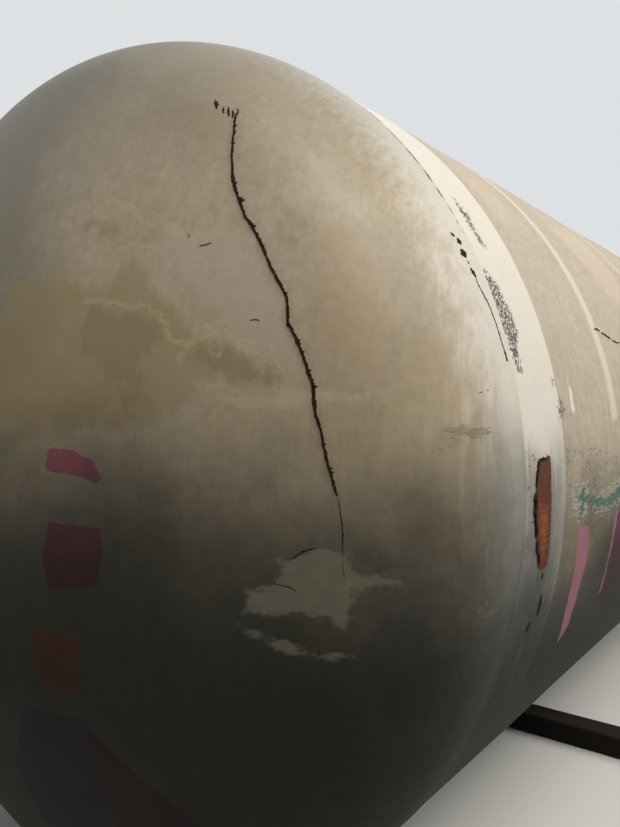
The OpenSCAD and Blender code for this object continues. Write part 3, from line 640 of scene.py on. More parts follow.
scuff_marks = [
    [(104, 694), (116, 690), (122, 664), (142, 662), (134, 630), (126, 604), (136, 560),
     (112, 566), (106, 600), (98, 640)],
    [(12, 470), (62, 486), (100, 456), (106, 420), (124, 370), (120, 336), (92, 306), (98, 250),
     (70, 250), (58, 300), (44, 330), (40, 400), (30, 430)],
    [(282, 170), (300, 190), (324, 162), (300, 150), (284, 142)],
    [(262, 232), (290, 236), (288, 226), (264, 224)],
]
cream_marks = [
    [(340, -40), (417, -26), (470, -40), (460, -112), (400, -116), (350, -80)],
    [(500, -66), (620, -56), (752, -46), (900, -30), (900, -112), (764, -112), (615, -127),
     (520, -104)],
]
patch_edge = [(120, 50), (106, 4), (96, -50), (108, -96), (126, -140), (150, -184)]
rust_runs = [
    [(150, -190), (156, -260), (150, -330), (158, -400), (200, -470)],
    [(176, -204), (190, -252), (199, -315), (196, -380)], [(120, -300), (140, -400), (190, -520)],
]
dark_lines = [[(350, 152), (385, 146), (432, 148)], [(409, -176), (460, -200), (519, -214)]]


def course_fields(u, v):
    """Places the marks on the near course; u is past the tangent line and v up the side, in mm."""
    return {name: patches(u, v, outlines) for name, outlines in course_marks.items()} | {
        "clean": np.where(v > -900, 293 - u, -400),
        "faint": 3 - np.abs(u - 198),
        "stripe": np.minimum.reduce([40 - np.abs(u - 752), v - 120, 1250 - v]),
        "wisp": np.minimum.reduce([60 - np.abs(u - 1674), v - 640, 1250 - v]),
        "black": 8 - near_line(u, v, patch_edge),
        "flecks": np.minimum(-8, patches(u, v, fleck_marks)),
        "runs": 5 - near_lines(u, v, rust_runs),
        "streaks": np.minimum.reduce([u + 60, 320 - u, 90 - v]),
        "scuff": np.minimum(5, patches(u, v, scuff_marks)),
        "line": 2.2 - near_lines(u, v, dark_lines),
        "cream": np.minimum(5, patches(u, v, cream_marks)),
    }


def course_skin(name, along, angles, fields=None):
    """Makes one rolled course as a closed tube, drawn in slightly at its girth welds."""
    low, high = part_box(name)
    x = low.x + (high.x - low.x) * along
    edge = np.minimum(x - low.x, high.x - x)
    rad = outer_r - course_waist * np.exp(-edge / 0.05) - 0.0004
    inner = outer_r - wall
    x = np.concatenate([[low.x], x, [high.x, low.x]])
    rad = np.concatenate([[inner], rad, [inner, inner]])
    grid_x = x[:, None] + 0 * angles[None, :]
    push = np.zeros_like(grid_x)
    y, z = -np.cos(angles)[None, :], np.sin(angles)[None, :]
    body = slice(1, len(x) - 2)
    fade = np.clip(edge / 0.12, 0, 1)[:, None]
    push[body] = (swell(grid_x * 1.1, y * outer_r, z * outer_r)[body] - 0.0012) * fade
    grid_r = rad[:, None] + push
    points = np.stack([grid_x, y * grid_r, z * grid_r + axis_z], -1)
    values = None
    if fields:
        turn = np.degrees(angles)
        turn = np.where(turn > 180, turn - 360, turn)
        v = np.radians(turn)[None, :] * outer_r * 1000 + 0 * grid_x
        values = fields(1000 * grid_x - tangent_mm, v)
    made = shut_skin(name + "_skin", points, fields=values)
    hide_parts(name)
    return made


shell_enamel = weathered_enamel("dusty_cream_enamel_shell", ("#c0b29f", "#b4a691"), [
    ("dust", ("#c8baa4", "#bdad95"), 0.6, 90, 60, (220, 160, 90), 0.5, 0.0),
    ("stripe", ("#d8cebd", "#cec3b1"), 0.42, 26, 9, (60, 60, 120), 0.8, 0.0),
    ("wisp", ("#d0c5b3", "#c5b9a5"), 0.42, 50, 20, (60, 60, 120), 0.5, 0.0),
    ("clean", ("#dfd8cb", "#d3cbbe"), 0.34, 6, 3, (60, 60, 60), 0.95, 0.0),
    ("faint", ("#b8b3a8", "#a8a49a"), 0.4, 3, 2, (50, 50, 50), 0.3, 0.0),
    ("streaks", ("#75797d", "#a5a5a0"), 0.5, 120, 110, (9, 900, 900), 0.6, 0.0),
    ("tan", ("#b3a27c", "#a89771"), 0.6, 20, 20, (50, 30, 60), 0.6, 0.0),
    ("scratch", ("#ded7c8", "#e6dfd0"), 0.5, 3, 8, (20, 20, 30), 0.9, 0.0),
    ("line", ("#4a4238", "#5f564a"), 0.6, 1.5, 1.5, (12, 12, 12), 0.8, 0.0),
    ("scuff", ("#0e110e", "#2b302a"), 0.6, 3, 22, (7, 6, 7), 0.92, 0.0),
    ("crimson", ("#b83a66", "#942c52"), 0.45, 3, 9, (20, 20, 50), 0.9, 0.0),
], [
    ("pink", ("#a85874", "#7e3d56"), 0.45, 3, 9, (20, 20, 50), 0.85, 0.0),
    ("cream", ("#c4bfab", "#a39e8a"), 0.5, 10, 34, (40, 9, 5), 0.7, 0.0),
    ("green", ("#226151", "#143f34"), 0.5, 4, 18, (26, 9, 5), 0.92, 0.0),
    ("runs", ("#33261a", "#4d3a28"), 0.6, 3, 8, (7, 6, 34), 0.8, 0.0),
    ("flecks", ("#3b322a", "#54483c"), 0.6, 2, 24, (8, 6, 9), 0.8, 0.0),
    ("patch", ("#3c1407", "#5a260f"), 0.85, 2, 6, (20, 14, 3), 0.97, 0.0),
    ("fresh", ("#733610", "#a8601f"), 0.85, 50, 26, (30, 20, 3), 0.9, 0.0),
    ("black", ("#150d08", "#2c1a10"), 0.85, 4, 12, (9, 8, 7), 0.9, 0.0),
], veil="#b3a286", tide=0.22, streak_mm=11, streaky=0.3, rough=0.42, grime_and_shade_film=0.024, waist=-0.11)
near_along = np.concatenate([np.linspace(0, 0.42, 96, endpoint=False), np.linspace(0.42, 1, 46)])
course_angles = turned_angles(-50, 62, 236, 150)
course = course_skin("shell_course_1", near_along, course_angles, course_fields)
course.data.materials.append(shell_enamel)
plain_enamel = weathered_enamel(
    "dusty_cream_enamel_plain", ("#c0b29f", "#b4a691"), veil="#b3a286", tide=0.26, streak_mm=11,
    rough=0.42, grime_and_shade_film=0.024, waist=-0.11, chips=-0.02)
for number in (2, 3, 4):
    angles = turned_angles(-90, 90, 110, 110)
    course = course_skin("shell_course_%d" % number, np.linspace(0, 1, 46), angles)
    course.data.materials.append(plain_enamel)

# Girth welds. Each is a ring of weld metal that fills the vee between two plates under a low
# rounded cap, laid by hand, so its edges wander and its ripples follow one another. The one at
# the near head has rusted through its paint.
weld_ri = outer_r - wall
root_gap, root_sunk, plate_gap = 0.002, 0.001, 0.0008
cap_half = box_of("girth_weld_2")[1][0]
cap_top = 0.0025
root_half = 0.0015


def whole_turn(count):
    """Gives count angles round a full turn."""
    return np.linspace(0, 2 * math.pi, count, endpoint=False)


def weld_rows(phase, ripple, lift, plate_r, toe_reach):
    """Gives offset and radius of the rows along a weld: its root, its rippled cap, its root."""
    root = weld_ri - root_sunk + 0 * phase
    rows = [(-root_half, root)]
    for s in (-1, -0.86, -0.5, 0, 0.5, 0.86, 1):
        wave = ripple * np.sin(phase + 2.0 * s * s) * (1 - s ** 2)
        cap = cap_top * (1 - s ** 2) * (0.85 + 0.3 * lift) + wave
        rows.append((s * (toe_reach if abs(s) == 1 else cap_half), plate_r + cap))
    return rows + [(root_half, root)]


def weld_ring(name, count, ripple):
    """Makes one ring of weld with count steps round the tank."""
    middle = box_of(name)[0][0]
    roll = np.random.default_rng(len(name) + count)
    a = whole_turn(count)
    lift = 0.5 + 0.5 * np.sin(a * 37 + 2 * np.sin(a * 11)) * np.sin(a * 5 + 1)
    sway = 0.0008 * np.sin(a * 61 + 3 * np.sin(a * 7)) + roll.normal(0, 0.00012, count)
    plate_r = outer_r - course_waist - 0.0006
    rows = weld_rows(a * count / 3, ripple, lift, plate_r, cap_half * 0.97)
    rows.append(rows[0])
    points = np.stack([np.stack([middle + x + sway * (abs(x) > root_gap), -np.cos(a) * rad,
                                 axis_z + np.sin(a) * rad], -1) for x, rad in rows])
    arc = np.where(a > math.pi, a - 2 * math.pi, a) * outer_r * 1000 + np.zeros((len(rows), 1))
    side = np.array([x for x, rad in rows])[:, None] * 1000 + 0 * a[None, :]
    rusted = np.minimum(np.minimum(arc - 560, 1010 - arc) * 0.05, 2.5 - np.abs(side + 9))
    made = shut_skin(name + "_bead", points, fields={"toe": rusted}, sharp=50)
    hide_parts(name)
    return made


def weld_metal(name, base, rusty):
    """Builds painted weld metal with rust where the paint has broken on its ripples."""
    made, tree = new_material(name)
    place = add(tree, "TexCoord").outputs["Object"]
    spread = add(tree, "TexNoise", {"Vector": place, "Scale": 1000 / 90, "Detail": 8.0,
                                    "Roughness": 0.7})
    fine = add(tree, "TexNoise", {"Vector": place, "Scale": 1000 / 4, "Detail": 4.0,
                                  "Roughness": 0.6})
    colour = add(tree, "Mix", {0: fine.outputs["Fac"], 6: linear(base[0]), 7: linear(base[1])},
                 data_type="RGBA").outputs[2]
    stain = add(tree, "MapRange", {0: spread.outputs["Fac"], 1: 0.6 - rusty, 2: 0.78 - rusty,
                                   3: 0.0, 4: 0.75})
    colour = add(tree, "Mix", {0: stain.outputs[0], 6: colour, 7: linear("#86643c")},
                 data_type="RGBA").outputs[2]
    toe = add(tree, "Attribute", attribute_name="toe").outputs["Fac"]
    tear = add(tree, "MapRange", {0: fine.outputs["Fac"], 1: 0.3, 2: 0.7, 3: -2.2, 4: 2.2},
               clamp=False)
    toe = add(tree, "Math", {0: toe, 1: tear.outputs[0]}, operation="ADD").outputs[0]
    toe = add(tree, "MapRange", {0: toe, 1: -0.5, 2: 1.2, 3: 0.0, 4: 0.85}).outputs[0]
    colour = add(tree, "Mix", {0: toe, 6: colour, 7: linear("#3d2414")},
                 data_type="RGBA").outputs[2]
    # Grime and painted shade below the waist, as on the enamel.
    colour, gloss = grimed_and_shaded(tree, place, colour, 0.52, 0.07)
    bump = add(tree, "Bump", {"Strength": 0.6, "Distance": 0.0008, "Height": fine.outputs["Fac"]})
    skin = add(tree, "BsdfPrincipled", {
        "Base Color": colour, "Roughness": gloss, "Specular IOR Level": 0.28,
        "Normal": bump.outputs[0]})
    add(tree, "OutputMaterial", {"Surface": skin.outputs[0]})
    return made


head_weld_paint = weld_metal("enamelled_weld_near_head", ("#d8d0c2", "#c6bcab"), 0.02)
weld_paint = weld_metal("enamelled_weld_metal", ("#bfb29c", "#a89a82"), 0.12)
for number in range(1, 6):
    bead_ring = weld_ring("girth_weld_%d" % number, 2400 if number == 1 else 1050, 0.00028)
    bead_ring.data.materials.append(head_weld_paint if number == 1 else weld_paint)

# Long welds of the courses, on alternate sides of the crown, each a straight bead that ends
# against the girth welds.
seam_lean = math.radians(25)
ripple_pitch = 0.0107
for number in range(1, 5):
    low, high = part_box("seam_weld_%d" % number)
    lean = seam_lean if (low.y + high.y) > 0 else -seam_lean
    length = np.linspace(low.x + 0.0004, high.x - 0.0004, 620)
    wobble = 0.0009 * np.sin(length * 31 + 2 * np.sin(length * 9))
    lift = 0.5 + 0.5 * np.sin(length * 23 + 1.5 * np.sin(length * 6))
    phase = length * 2 * math.pi / ripple_pitch
    ring = weld_rows(phase, 0.0003, lift, outer_r - plate_gap, cap_half)
    seam = []
    for side, rad in ring:
        side = side + wobble * (abs(side) > root_gap)
        seam.append(np.stack([length, math.sin(lean) * rad + math.cos(lean) * side,
                              axis_z + math.cos(lean) * rad - math.sin(lean) * side], -1))
    seam = np.stack(seam, axis=1)
    ends = seam.mean(axis=1, keepdims=True).repeat(len(ring), 1)
    seam = np.concatenate([ends[:1], seam, ends[-1:]])
    seam_bead = shut_skin("seam_weld_%d_bead" % number, seam, sharp=50)
    seam_bead.data.materials.append(weld_paint)
    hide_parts("seam_weld_%d" % number)

# Far head. It is the same pressing with the manway let into its middle, so its skin closes
# round a hole instead of at the apex.
far_angles = turned_angles(-180, 180, 150, 1)[:-1]
far_out, far_rad = dished_profile(70, 40, 0.0)
far_in, far_in_rad = dished_profile(12, 12, wall)
hole_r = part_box("manway_neck")[1].y + 0.0004
keep, keep_in = far_rad > hole_r, far_in_rad > hole_r
rim_out = math.sqrt(crown_r ** 2 - hole_r ** 2) - crown_back
rim_in = math.sqrt((crown_r - wall) ** 2 - hole_r ** 2) - crown_back
loop_out = np.concatenate([
    [rim_out], far_out[keep], [-flange_len + bevel_reach, -flange_len + root_face],
    far_in[keep_in][::-1], [rim_in, rim_out]])
loop_rad = np.concatenate([
    [hole_r], far_rad[keep], [outer_r, outer_r - wall + root_step],
    far_in_rad[keep_in][::-1], [hole_r, hole_r]])
far_x = far_tangent + loop_out[:, None] + 0 * far_angles[None, :]
far_y = -loop_rad[:, None] * np.cos(far_angles)[None, :]
far_z = loop_rad[:, None] * np.sin(far_angles)[None, :]
outside = (np.arange(len(loop_out)) > 0) & (np.arange(len(loop_out)) <= keep.sum())
pad_edge = 0.44
fade = np.clip((loop_rad - pad_edge) / 0.1, 0, 1) * np.clip((outer_r - loop_rad) / 0.15, 0, 1)
fade = np.where(outside, fade, 0)
far_x = far_x + swell(far_x * 1.3, far_y, far_z) * fade[:, None]
far_head = shut_skin("far_head_skin", np.stack([far_x, far_y, far_z + axis_z], -1))
# Its enamel is darkened below the waist by grime and painted shade.
far_head.data.materials.append(weathered_enamel(
    "weathered_cream_enamel_far_head", ("#bdb19e", "#aca08b"), chips=-0.01))
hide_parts("far_head")

# Forged and cut fittings: the manway set, the crown nozzles, the bottom fittings and the
# lifting lugs keep their machined shape. They carry the same enamel, brushed on thicker, and
# rust shows where it has chipped.
forging_enamel = weathered_enamel("chipped_enamel_on_forging", ("#b9b09d", "#a79c87"), streak_mm=14,
                                  rough=0.45, chips=0.06)
plate_enamel = weathered_enamel("brushed_enamel_on_plate", ("#bfb5a2", "#aca08c"), streak_mm=12,
                                rough=0.42, chips=0.03)
bar_enamel = weathered_enamel("worn_enamel_on_bar", ("#8f8a7c", "#7c7769"), streak_mm=6,
                              rough=0.5, chips=0.1)
finishes = {
    plate_enamel: ["manway_pad", "manway_neck", "davit_bracket", "relief_pad_1", "relief_pad_2",
                   "vapour_pad", "lug_pad_near", "lug_pad_far"],
    forging_enamel: ["manway_flange", "manway_cover", "relief_nozzle_1", "relief_nozzle_2",
                     "relief_cover_1", "relief_cover_2", "vapour_nozzle", "vapour_cover",
                     "outlet_pad", "outlet_cover", "drain_pad", "drain_cover",
                     "lifting_lug_near", "lifting_lug_far"],
    bar_enamel: ["cover_handles", "manway_davit"],
}


def refinish(node_name, finish):
    """Gives a piece that keeps its CAD shape its finish."""
    slots = bpy.data.objects[node_name].data.materials
    slots.clear()
    slots.append(finish)


for finish, node_names in finishes.items():
    for node_name in node_names:
        refinish(node_name, finish)

# Gasket between the manway's flange and cover: compressed fibre sheet, matt and dark. It keeps
# its CAD shape, and only its edge shows.
gasket_sheet, tree = new_material("compressed_fibre_sheet")
place = add(tree, "TexCoord").outputs["Object"]
fibre_at = add(tree, "Mapping", {"Vector": place, "Scale": (900.0, 160.0, 160.0)})
fibre = add(tree, "TexNoise", {"Vector": fibre_at.outputs[0], "Scale": 1.0, "Detail": 6.0})
colour = add(tree, "Mix", {0: fibre.outputs["Fac"], 6: linear("#33312d"), 7: linear("#5d5a52")},
             data_type="RGBA")
bump = add(tree, "Bump", {"Strength": 0.6, "Distance": 0.0006, "Height": fibre.outputs["Fac"]})
skin = add(tree, "BsdfPrincipled", {"Base Color": colour.outputs[2], "Roughness": 0.9,
                                    "Normal": bump.outputs[0]})
add(tree, "OutputMaterial", {"Surface": skin.outputs[0]})
refinish("manway_gasket", gasket_sheet)

# Studs and nuts. Threaded rod passes through each pair of flanges with a hexagon nut on both
# sides, and its ends stand a few threads proud. The steel is bare and has turned brown.


def threaded(radius, low, high, pitch, sides=16):
    """Gives a stud as a grid of points, with a real thread on the ends that stand out."""
    end = 4.2 * pitch
    zs = np.concatenate([np.arange(0, end, pitch / 3), [end * 1.1, (high - low) - end * 1.1],
                         (high - low) - np.arange(0, end, pitch / 3)[::-1]])
    a = whole_turn(sides)
    phase = zs[:, None] / pitch - a[None, :] / (2 * math.pi)
    tooth = np.abs((phase % 1) - 0.5) * 2
    rad = radius - 0.6 * pitch * tooth
    rad[[0, -1]] = radius - 1.1 * pitch
    points = np.stack([rad * np.cos(a), rad * np.sin(a), low + zs[:, None] + 0 * rad], -1)
    tips = np.zeros((2, sides, 3))
    tips[0, :, 2], tips[1, :, 2] = low, high
    return np.concatenate([tips[:1], points, tips[1:]])


def layered(rows, reach):
    """Stacks rings of 24 points; rows are heights and radii, cut off where reach is less."""
    a = whole_turn(24)
    return np.stack([np.stack([np.minimum(reach, r) * np.cos(a), np.minimum(reach, r) * np.sin(a),
                               np.full(24, z)], -1) for z, r in rows])


def hexagon(across, low, high):
    """Gives a nut or bolt head with chamfered corners as a grid of points."""
    half = across / 2
    corner = half / math.cos(math.radians(30))
    bevel = (half + corner) / 2
    rows = [(0, 0.0), (0, half * 0.94), (0.1, bevel), (0.17, corner), (0.83, corner), (0.9, bevel),
            (1, half * 0.94), (1, 0.0)]
    flat = half / np.cos(whole_turn(24) % (math.pi / 3) - math.pi / 6)
    return layered([(low + share * (high - low), r) for share, r in rows], flat)


def washer(radius, low, high):
    """Gives a round washer with a broken edge as a grid of points."""
    return layered([(low, 0.0), (low, radius), (low + 0.8 * (high - low), radius),
                    (high, radius * 0.97), (high, 0.0)], math.inf)


def bolt_circle(name, centre, axis, count, pcd, pieces):
    """Makes one mesh of the studs of a flange; pieces are grids about the stud's own axis."""
    axis = Vector(axis)
    tilt = axis.to_track_quat("Z", "Y").to_matrix()
    roll = np.random.default_rng(count + int(pcd * 1000))
    mesh = bpy.data.meshes.new(name)
    work = bmesh.new()
    for k in range(count):
        a = 2 * math.pi * (k + 0.5) / count
        place = Vector((pcd / 2 * math.cos(a), pcd / 2 * math.sin(a), 0))
        spin = Matrix.Rotation(roll.uniform(0, math.pi / 3), 3, "Z")
        for grid in pieces:
            rows, columns = grid.shape[:2]
            made = [[work.verts.new(tilt @ (spin @ Vector(p) + place) + centre) for p in row]
                    for row in grid]
            for r in range(rows - 1):
                for c in range(columns):
                    d = (c + 1) % columns
                    work.faces.new((made[r][c], made[r][d], made[r + 1][d], made[r + 1][c]))
    made = close_skin(name, work, mesh, 28)
    made.data.materials.append(stud_steel)


stud_steel = scaly_rust("browned_stud_steel", "#3a2a1e", "#7a5f45")
cover_low, cover_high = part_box("manway_cover")
gasket_thick, flange_thick, neck_past_flange = 0.003, 0.063, 0.045
back = cover_low.x - gasket_thick - flange_thick
stud_r, stud_end, nut_across, nut_tall = 0.0165, 0.047, 0.050, 0.033
washer_r, washer_tall = 0.030, 0.002
stud_circle, stud_pitch = 0.686, 0.0035
bolt_circle("manway_studs", Vector((0, 0, axis_z)), (1, 0, 0), 24, stud_circle, [
    threaded(stud_r, back - stud_end, cover_high.x + stud_end, stud_pitch),
    hexagon(nut_across, back - washer_tall - nut_tall, back - washer_tall),
    washer(washer_r, back - washer_tall, back),
    washer(washer_r, cover_high.x, cover_high.x + washer_tall),
    hexagon(nut_across, cover_high.x + washer_tall, cover_high.x + washer_tall + nut_tall),
])
relief_size, vapour_size = (0.168, 0.029, 0.020, 0.030, 0.0025), (0.127, 0.022, 0.016, 0.024, 0.002)
for stud_name, cover, (pcd, thick, size, across, pitch) in (
        ("relief_studs_1", "relief_cover_1", relief_size),
        ("relief_studs_2", "relief_cover_2", relief_size),
        ("vapour_studs", "vapour_cover", vapour_size)):
    low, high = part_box(cover)
    middle = Vector((*box_of(cover)[0][:2], 0))
    under = low.z - thick
    nut = 0.9 * size
    bolt_circle(stud_name, middle, (0, 0, 1), 8, pcd, [
        threaded(size / 2, under - nut - 5 * pitch, high.z + nut + 5 * pitch, pitch),
        hexagon(across, under - nut, under), hexagon(across, high.z, high.z + nut),
    ])
for fitting, pcd in (("outlet", 0.200), ("drain", 0.125)):
    cover = fitting + "_cover"
    middle = Vector((*box_of(cover)[0][:2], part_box(cover)[0].z))
    bolt_circle(fitting + "_bolts", middle, (0, 0, -1), 8, pcd, [
        washer(0.015, 0.0, 0.0015), hexagon(0.024, 0.0015, 0.0115)])

# Fillet welds where pads, necks, lugs and bars meet the plate under them. They are rows of
# overlapping ripples laid by hand, brushed over with enamel.
crown_step, end_step = 0.0028, 0.0036


def fillet(name, path, ups, leg):
    """Makes a rippled bead along a closed path of points that lies in the corner it fills."""
    count = len(path)
    rings = []
    for k in range(count + 1):
        at = Vector(path[k % count])
        ahead = (Vector(path[(k + 1) % count]) - Vector(path[(k - 1) % count])).normalized()
        up = Vector(ups[k % count]).normalized()
        side = up.cross(ahead).normalized()
        ripple = 1 + 0.10 * math.cos(2 * math.pi * (k % 3) / 3) + 0.05 * math.sin(k * 0.7)
        rings.append([tuple(at + (side * math.cos(a) + up * math.sin(a)) * leg * ripple)
                      for a in whole_turn(8)])
    made = shut_skin(name, np.array(rings), sharp=60)
    made.data.materials.append(weld_paint)


def bead_turn(radius, step):
    """Gives angles round a circle that carry three steps to a ripple."""
    return whole_turn(3 * int(2 * math.pi * radius / step / 3))


def ring_on_crown(x, radius, lift):
    """Gives a circle about an upright axis, laid on the shell's crown, with its normals."""
    path, ups = [], []
    for a in bead_turn(radius, crown_step):
        y = radius * math.sin(a)
        drop = math.sqrt((outer_r + lift) ** 2 - y * y)
        path.append((x + radius * math.cos(a), y, axis_z + drop))
        ups.append((0, y, drop))
    return path, ups


def even_steps(flat, count_of):
    """Gives evenly spaced places along a loop of points, count_of(its length) of them."""
    flat = np.array(flat)
    run = np.concatenate([[0], np.cumsum(np.hypot(*np.diff(flat, axis=0).T))])
    spots = np.linspace(0, run[-1], count_of(run[-1]), endpoint=False)
    return np.interp(spots, run, flat[:, 0]), np.interp(spots, run, flat[:, 1])


def frame_on_crown(x, half_x, half_y, corner, lift):
    """Gives a rounded rectangle laid on the shell's crown, with its normals."""
    flat = []
    for cx, cy, start in ((1, 1, 0), (-1, 1, 90), (-1, -1, 180), (1, -1, 270)):
        for turn in np.linspace(start, start + 90, 9):
            a = math.radians(turn)
            flat.append((cx * (half_x - corner) + corner * math.cos(a),
                         cy * (half_y - corner) + corner * math.sin(a)))
    flat.append(flat[0])
    xs, ys = even_steps(flat, lambda length: 3 * int(length / crown_step / 3))
    drops = np.sqrt((outer_r + lift) ** 2 - ys ** 2)
    return (list(zip(x + xs, ys, axis_z + drops)), list(zip(0 * ys, ys, drops)))


def ring_on_end(radius, lift):
    """Gives a circle about the tank's axis, laid on the far head's crown, with its normals."""
    out = math.sqrt((crown_r + lift) ** 2 - radius ** 2)
    path, ups = [], []
    for a in bead_turn(radius, end_step):
        y, z = radius * math.cos(a), radius * math.sin(a)
        path.append((far_tangent + out - crown_back, y, axis_z + z))
        ups.append((out, y, z))
    return path, ups


pad_r = box_of("manway_pad")[1][1]
fillet("manway_pad_weld", *ring_on_end(pad_r, 0.004), 0.0085)
fillet("manway_neck_weld", *ring_on_end(hole_r, 0.017), 0.0085)
neck_end = back - neck_past_flange
butt_r = hole_r - 0.0025
turns = [(math.cos(a), math.sin(a)) for a in bead_turn(hole_r, end_step)]
fillet("manway_butt_weld", [(neck_end, butt_r * y, axis_z + butt_r * z) for y, z in turns],
       [(0, y, z) for y, z in turns], 0.0045)
for pad, nozzle_od in (("relief_pad_1", 0.089), ("relief_pad_2", 0.089), ("vapour_pad", 0.060)):
    (middle_x, _, _), (pad_r, _, _) = box_of(pad)
    fillet(pad + "_weld", *ring_on_crown(middle_x, pad_r, 0.003), 0.0065)
    fillet(pad + "_neck_weld", *ring_on_crown(middle_x, nozzle_od / 2, 0.0135), 0.0065)
for end in ("near", "far"):
    (middle_x, _, _), (half_x, half_y, _) = box_of("lug_pad_" + end)
    fillet("lug_pad_weld_" + end, *frame_on_crown(middle_x, half_x, half_y, 0.045, 0.004), 0.0075)
    half_x, half_y, _ = box_of("lifting_lug_" + end)[1]
    fillet("lug_weld_" + end, *frame_on_crown(middle_x, half_x, half_y, 0.004, 0.0155), 0.0085)
foot_x, foot_r = cover_high.x + 0.0005, 0.0095
for side in (-0.19, 0.19):
    for end in (-0.07, 0.07):
        path = [(foot_x, side + foot_r * math.cos(a), axis_z + end + foot_r * math.sin(a))
                for a in whole_turn(24)]
        fillet("handle_weld_%d" % (2 * (side > 0) + (end > 0)), path, [(1, 0, 0)] * 24, 0.004)

# Timber bearers. Sawn hardwood sleepers, dark grey-brown and wet through, with rounded arrises,
# checks along the grain and the shell's line crushed into the top. Their colour is darkened
# to near black as painted shade, for the shade under the tank.


def long_grain(y, turn, seed):
    """Gives the depth of saw marks, furrows and checks on a timber's side, in metres."""
    roll = np.random.default_rng(seed)
    depth = 0.0004 * np.sin(y * 2 * math.pi / 0.017 + 2 * np.sin(turn * 3))
    for k in range(26):
        where, width = roll.uniform(0, 2 * math.pi), roll.uniform(0.01, 0.04)
        drift = 0.25 * np.sin(y * roll.uniform(0.6, 2.2) + roll.uniform(0, 6))
        gap = np.abs((turn - where - drift + math.pi) % (2 * math.pi) - math.pi)
        start, length = roll.uniform(-1.3, 1.0), roll.uniform(0.2, 1.1)
        on = np.clip((y - start) / 0.05, 0, 1) * np.clip((start + length - y) / 0.05, 0, 1)
        depth = depth + on * roll.uniform(0.0005, 0.0022) * np.exp(-(gap / width) ** 2)
    return depth


def sleeper(name, seed):
    """Makes one bearer as a closed skin with a groove where the shell rests."""
    low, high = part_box(name)
    (middle_x, _, _), (half, _, _) = box_of(name)
    tall, around = 0.090, 72
    y = np.linspace(low.y, high.y, 261)
    arris = 0.006
    flat = [(-half, arris), (-half, tall - arris), (-half + arris, tall), (half - arris, tall),
            (half, tall - arris), (half, arris), (half - arris, 0), (-half + arris, 0),
            (-half, arris)]
    xs, zs = even_steps(flat, lambda length: around)
    turn = np.arctan2(zs - tall / 2, xs)
    yy, tt = y[:, None] + 0 * turn[None, :], turn[None, :] + 0 * y[:, None]
    depth = 0.0002 + np.maximum(long_grain(yy, tt, seed), 0)
    worn = np.clip(1 - np.minimum(yy - low.y, high.y - yy) / 0.03, 0, 1) * 0.004
    grow = 1 - (depth + worn) / np.hypot(xs, zs - tall / 2)[None, :]
    gx, gz = middle_x + xs[None, :] * grow, tall / 2 + (zs - tall / 2)[None, :] * grow
    gz = np.maximum(gz, 0.0)
    crush = axis_z - np.sqrt(np.maximum(outer_r ** 2 - yy ** 2, 0)) + 0 * gz
    gz = np.where(np.abs(yy) < 0.5, np.minimum(gz, crush - 0.0003), gz)
    skin = np.stack([gx, yy, gz], -1)
    caps = []
    for row, out in ((0, -1), (-1, 1)):
        centre = skin[row].mean(axis=0)
        for share in (0.0, 0.25, 0.5, 0.75, 0.93):
            ring = centre + (skin[row] - centre) * share
            ring[:, 1] = y[row] + 0.0006 * np.sin(np.arange(around) * 2.3 + 9 * share) * (share > 0)
            caps.append(ring)
    skin = np.concatenate([np.array(caps[:5]), skin, np.array(caps[5:][::-1])])
    made = shut_skin(name + "_timber", skin, sharp=40)
    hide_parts(name)
    return made


def sawn_timber(name, dark, light):
    """Builds weathered sawn timber whose grain runs along Y; its ends show growth rings."""
    made, tree = new_material(name)
    place = add(tree, "TexCoord").outputs["Object"]
    run = add(tree, "Mapping", {"Vector": place, "Scale": (95.0, 5.0, 95.0)})
    grain = add(tree, "TexNoise", {"Vector": run.outputs[0], "Scale": 1.0, "Detail": 8.0,
                                   "Roughness": 0.7})
    cloud = add(tree, "TexNoise", {"Vector": place, "Scale": 9.0, "Detail": 5.0, "Roughness": 0.6})
    rings_at = add(tree, "Mapping", {"Vector": place, "Scale": (1.0, 0.02, 1.0)})
    rings = add(tree, "TexWave", {"Vector": rings_at.outputs[0], "Scale": 34.0, "Distortion": 4.0,
                                  "Detail": 4.0, "Detail Scale": 2.0}, wave_type="RINGS",
                                  rings_direction="Y")
    normal = add(tree, "SeparateXYZ", {0: add(tree, "NewGeometry").outputs["Normal"]}).outputs["Y"]
    end = add(tree, "MapRange", {0: add(tree, "Math", {0: normal}, operation="ABSOLUTE").outputs[0],
                                 1: 0.7, 2: 0.9, 3: 0.0, 4: 1.0})
    pattern = add(tree, "Mix", {0: end.outputs[0], 2: grain.outputs["Fac"],
                                3: rings.outputs["Fac"]})
    tone = add(tree, "MapRange", {0: pattern.outputs[0], 1: 0.3, 2: 0.7, 3: 0.0, 4: 1.0})
    colour = add(tree, "Mix", {0: tone.outputs[0], 6: linear(dark), 7: linear(light)},
                 data_type="RGBA").outputs[2]
    damp = add(tree, "MapRange", {0: cloud.outputs["Fac"], 1: 0.45, 2: 0.65, 3: 0.0, 4: 0.6})
    colour = add(tree, "Mix", {0: damp.outputs[0], 6: colour, 7: linear("#1a1612")},
                 data_type="RGBA").outputs[2]
    bump = add(tree, "Bump", {"Strength": 0.8, "Distance": 0.0012, "Height": pattern.outputs[0]})
    skin = add(tree, "BsdfPrincipled", {"Base Color": colour, "Roughness": 0.85,
                                        "Specular IOR Level": 0.2,
                                        "Normal": bump.outputs[0]})
    add(tree, "OutputMaterial", {"Surface": skin.outputs[0]})
    return made


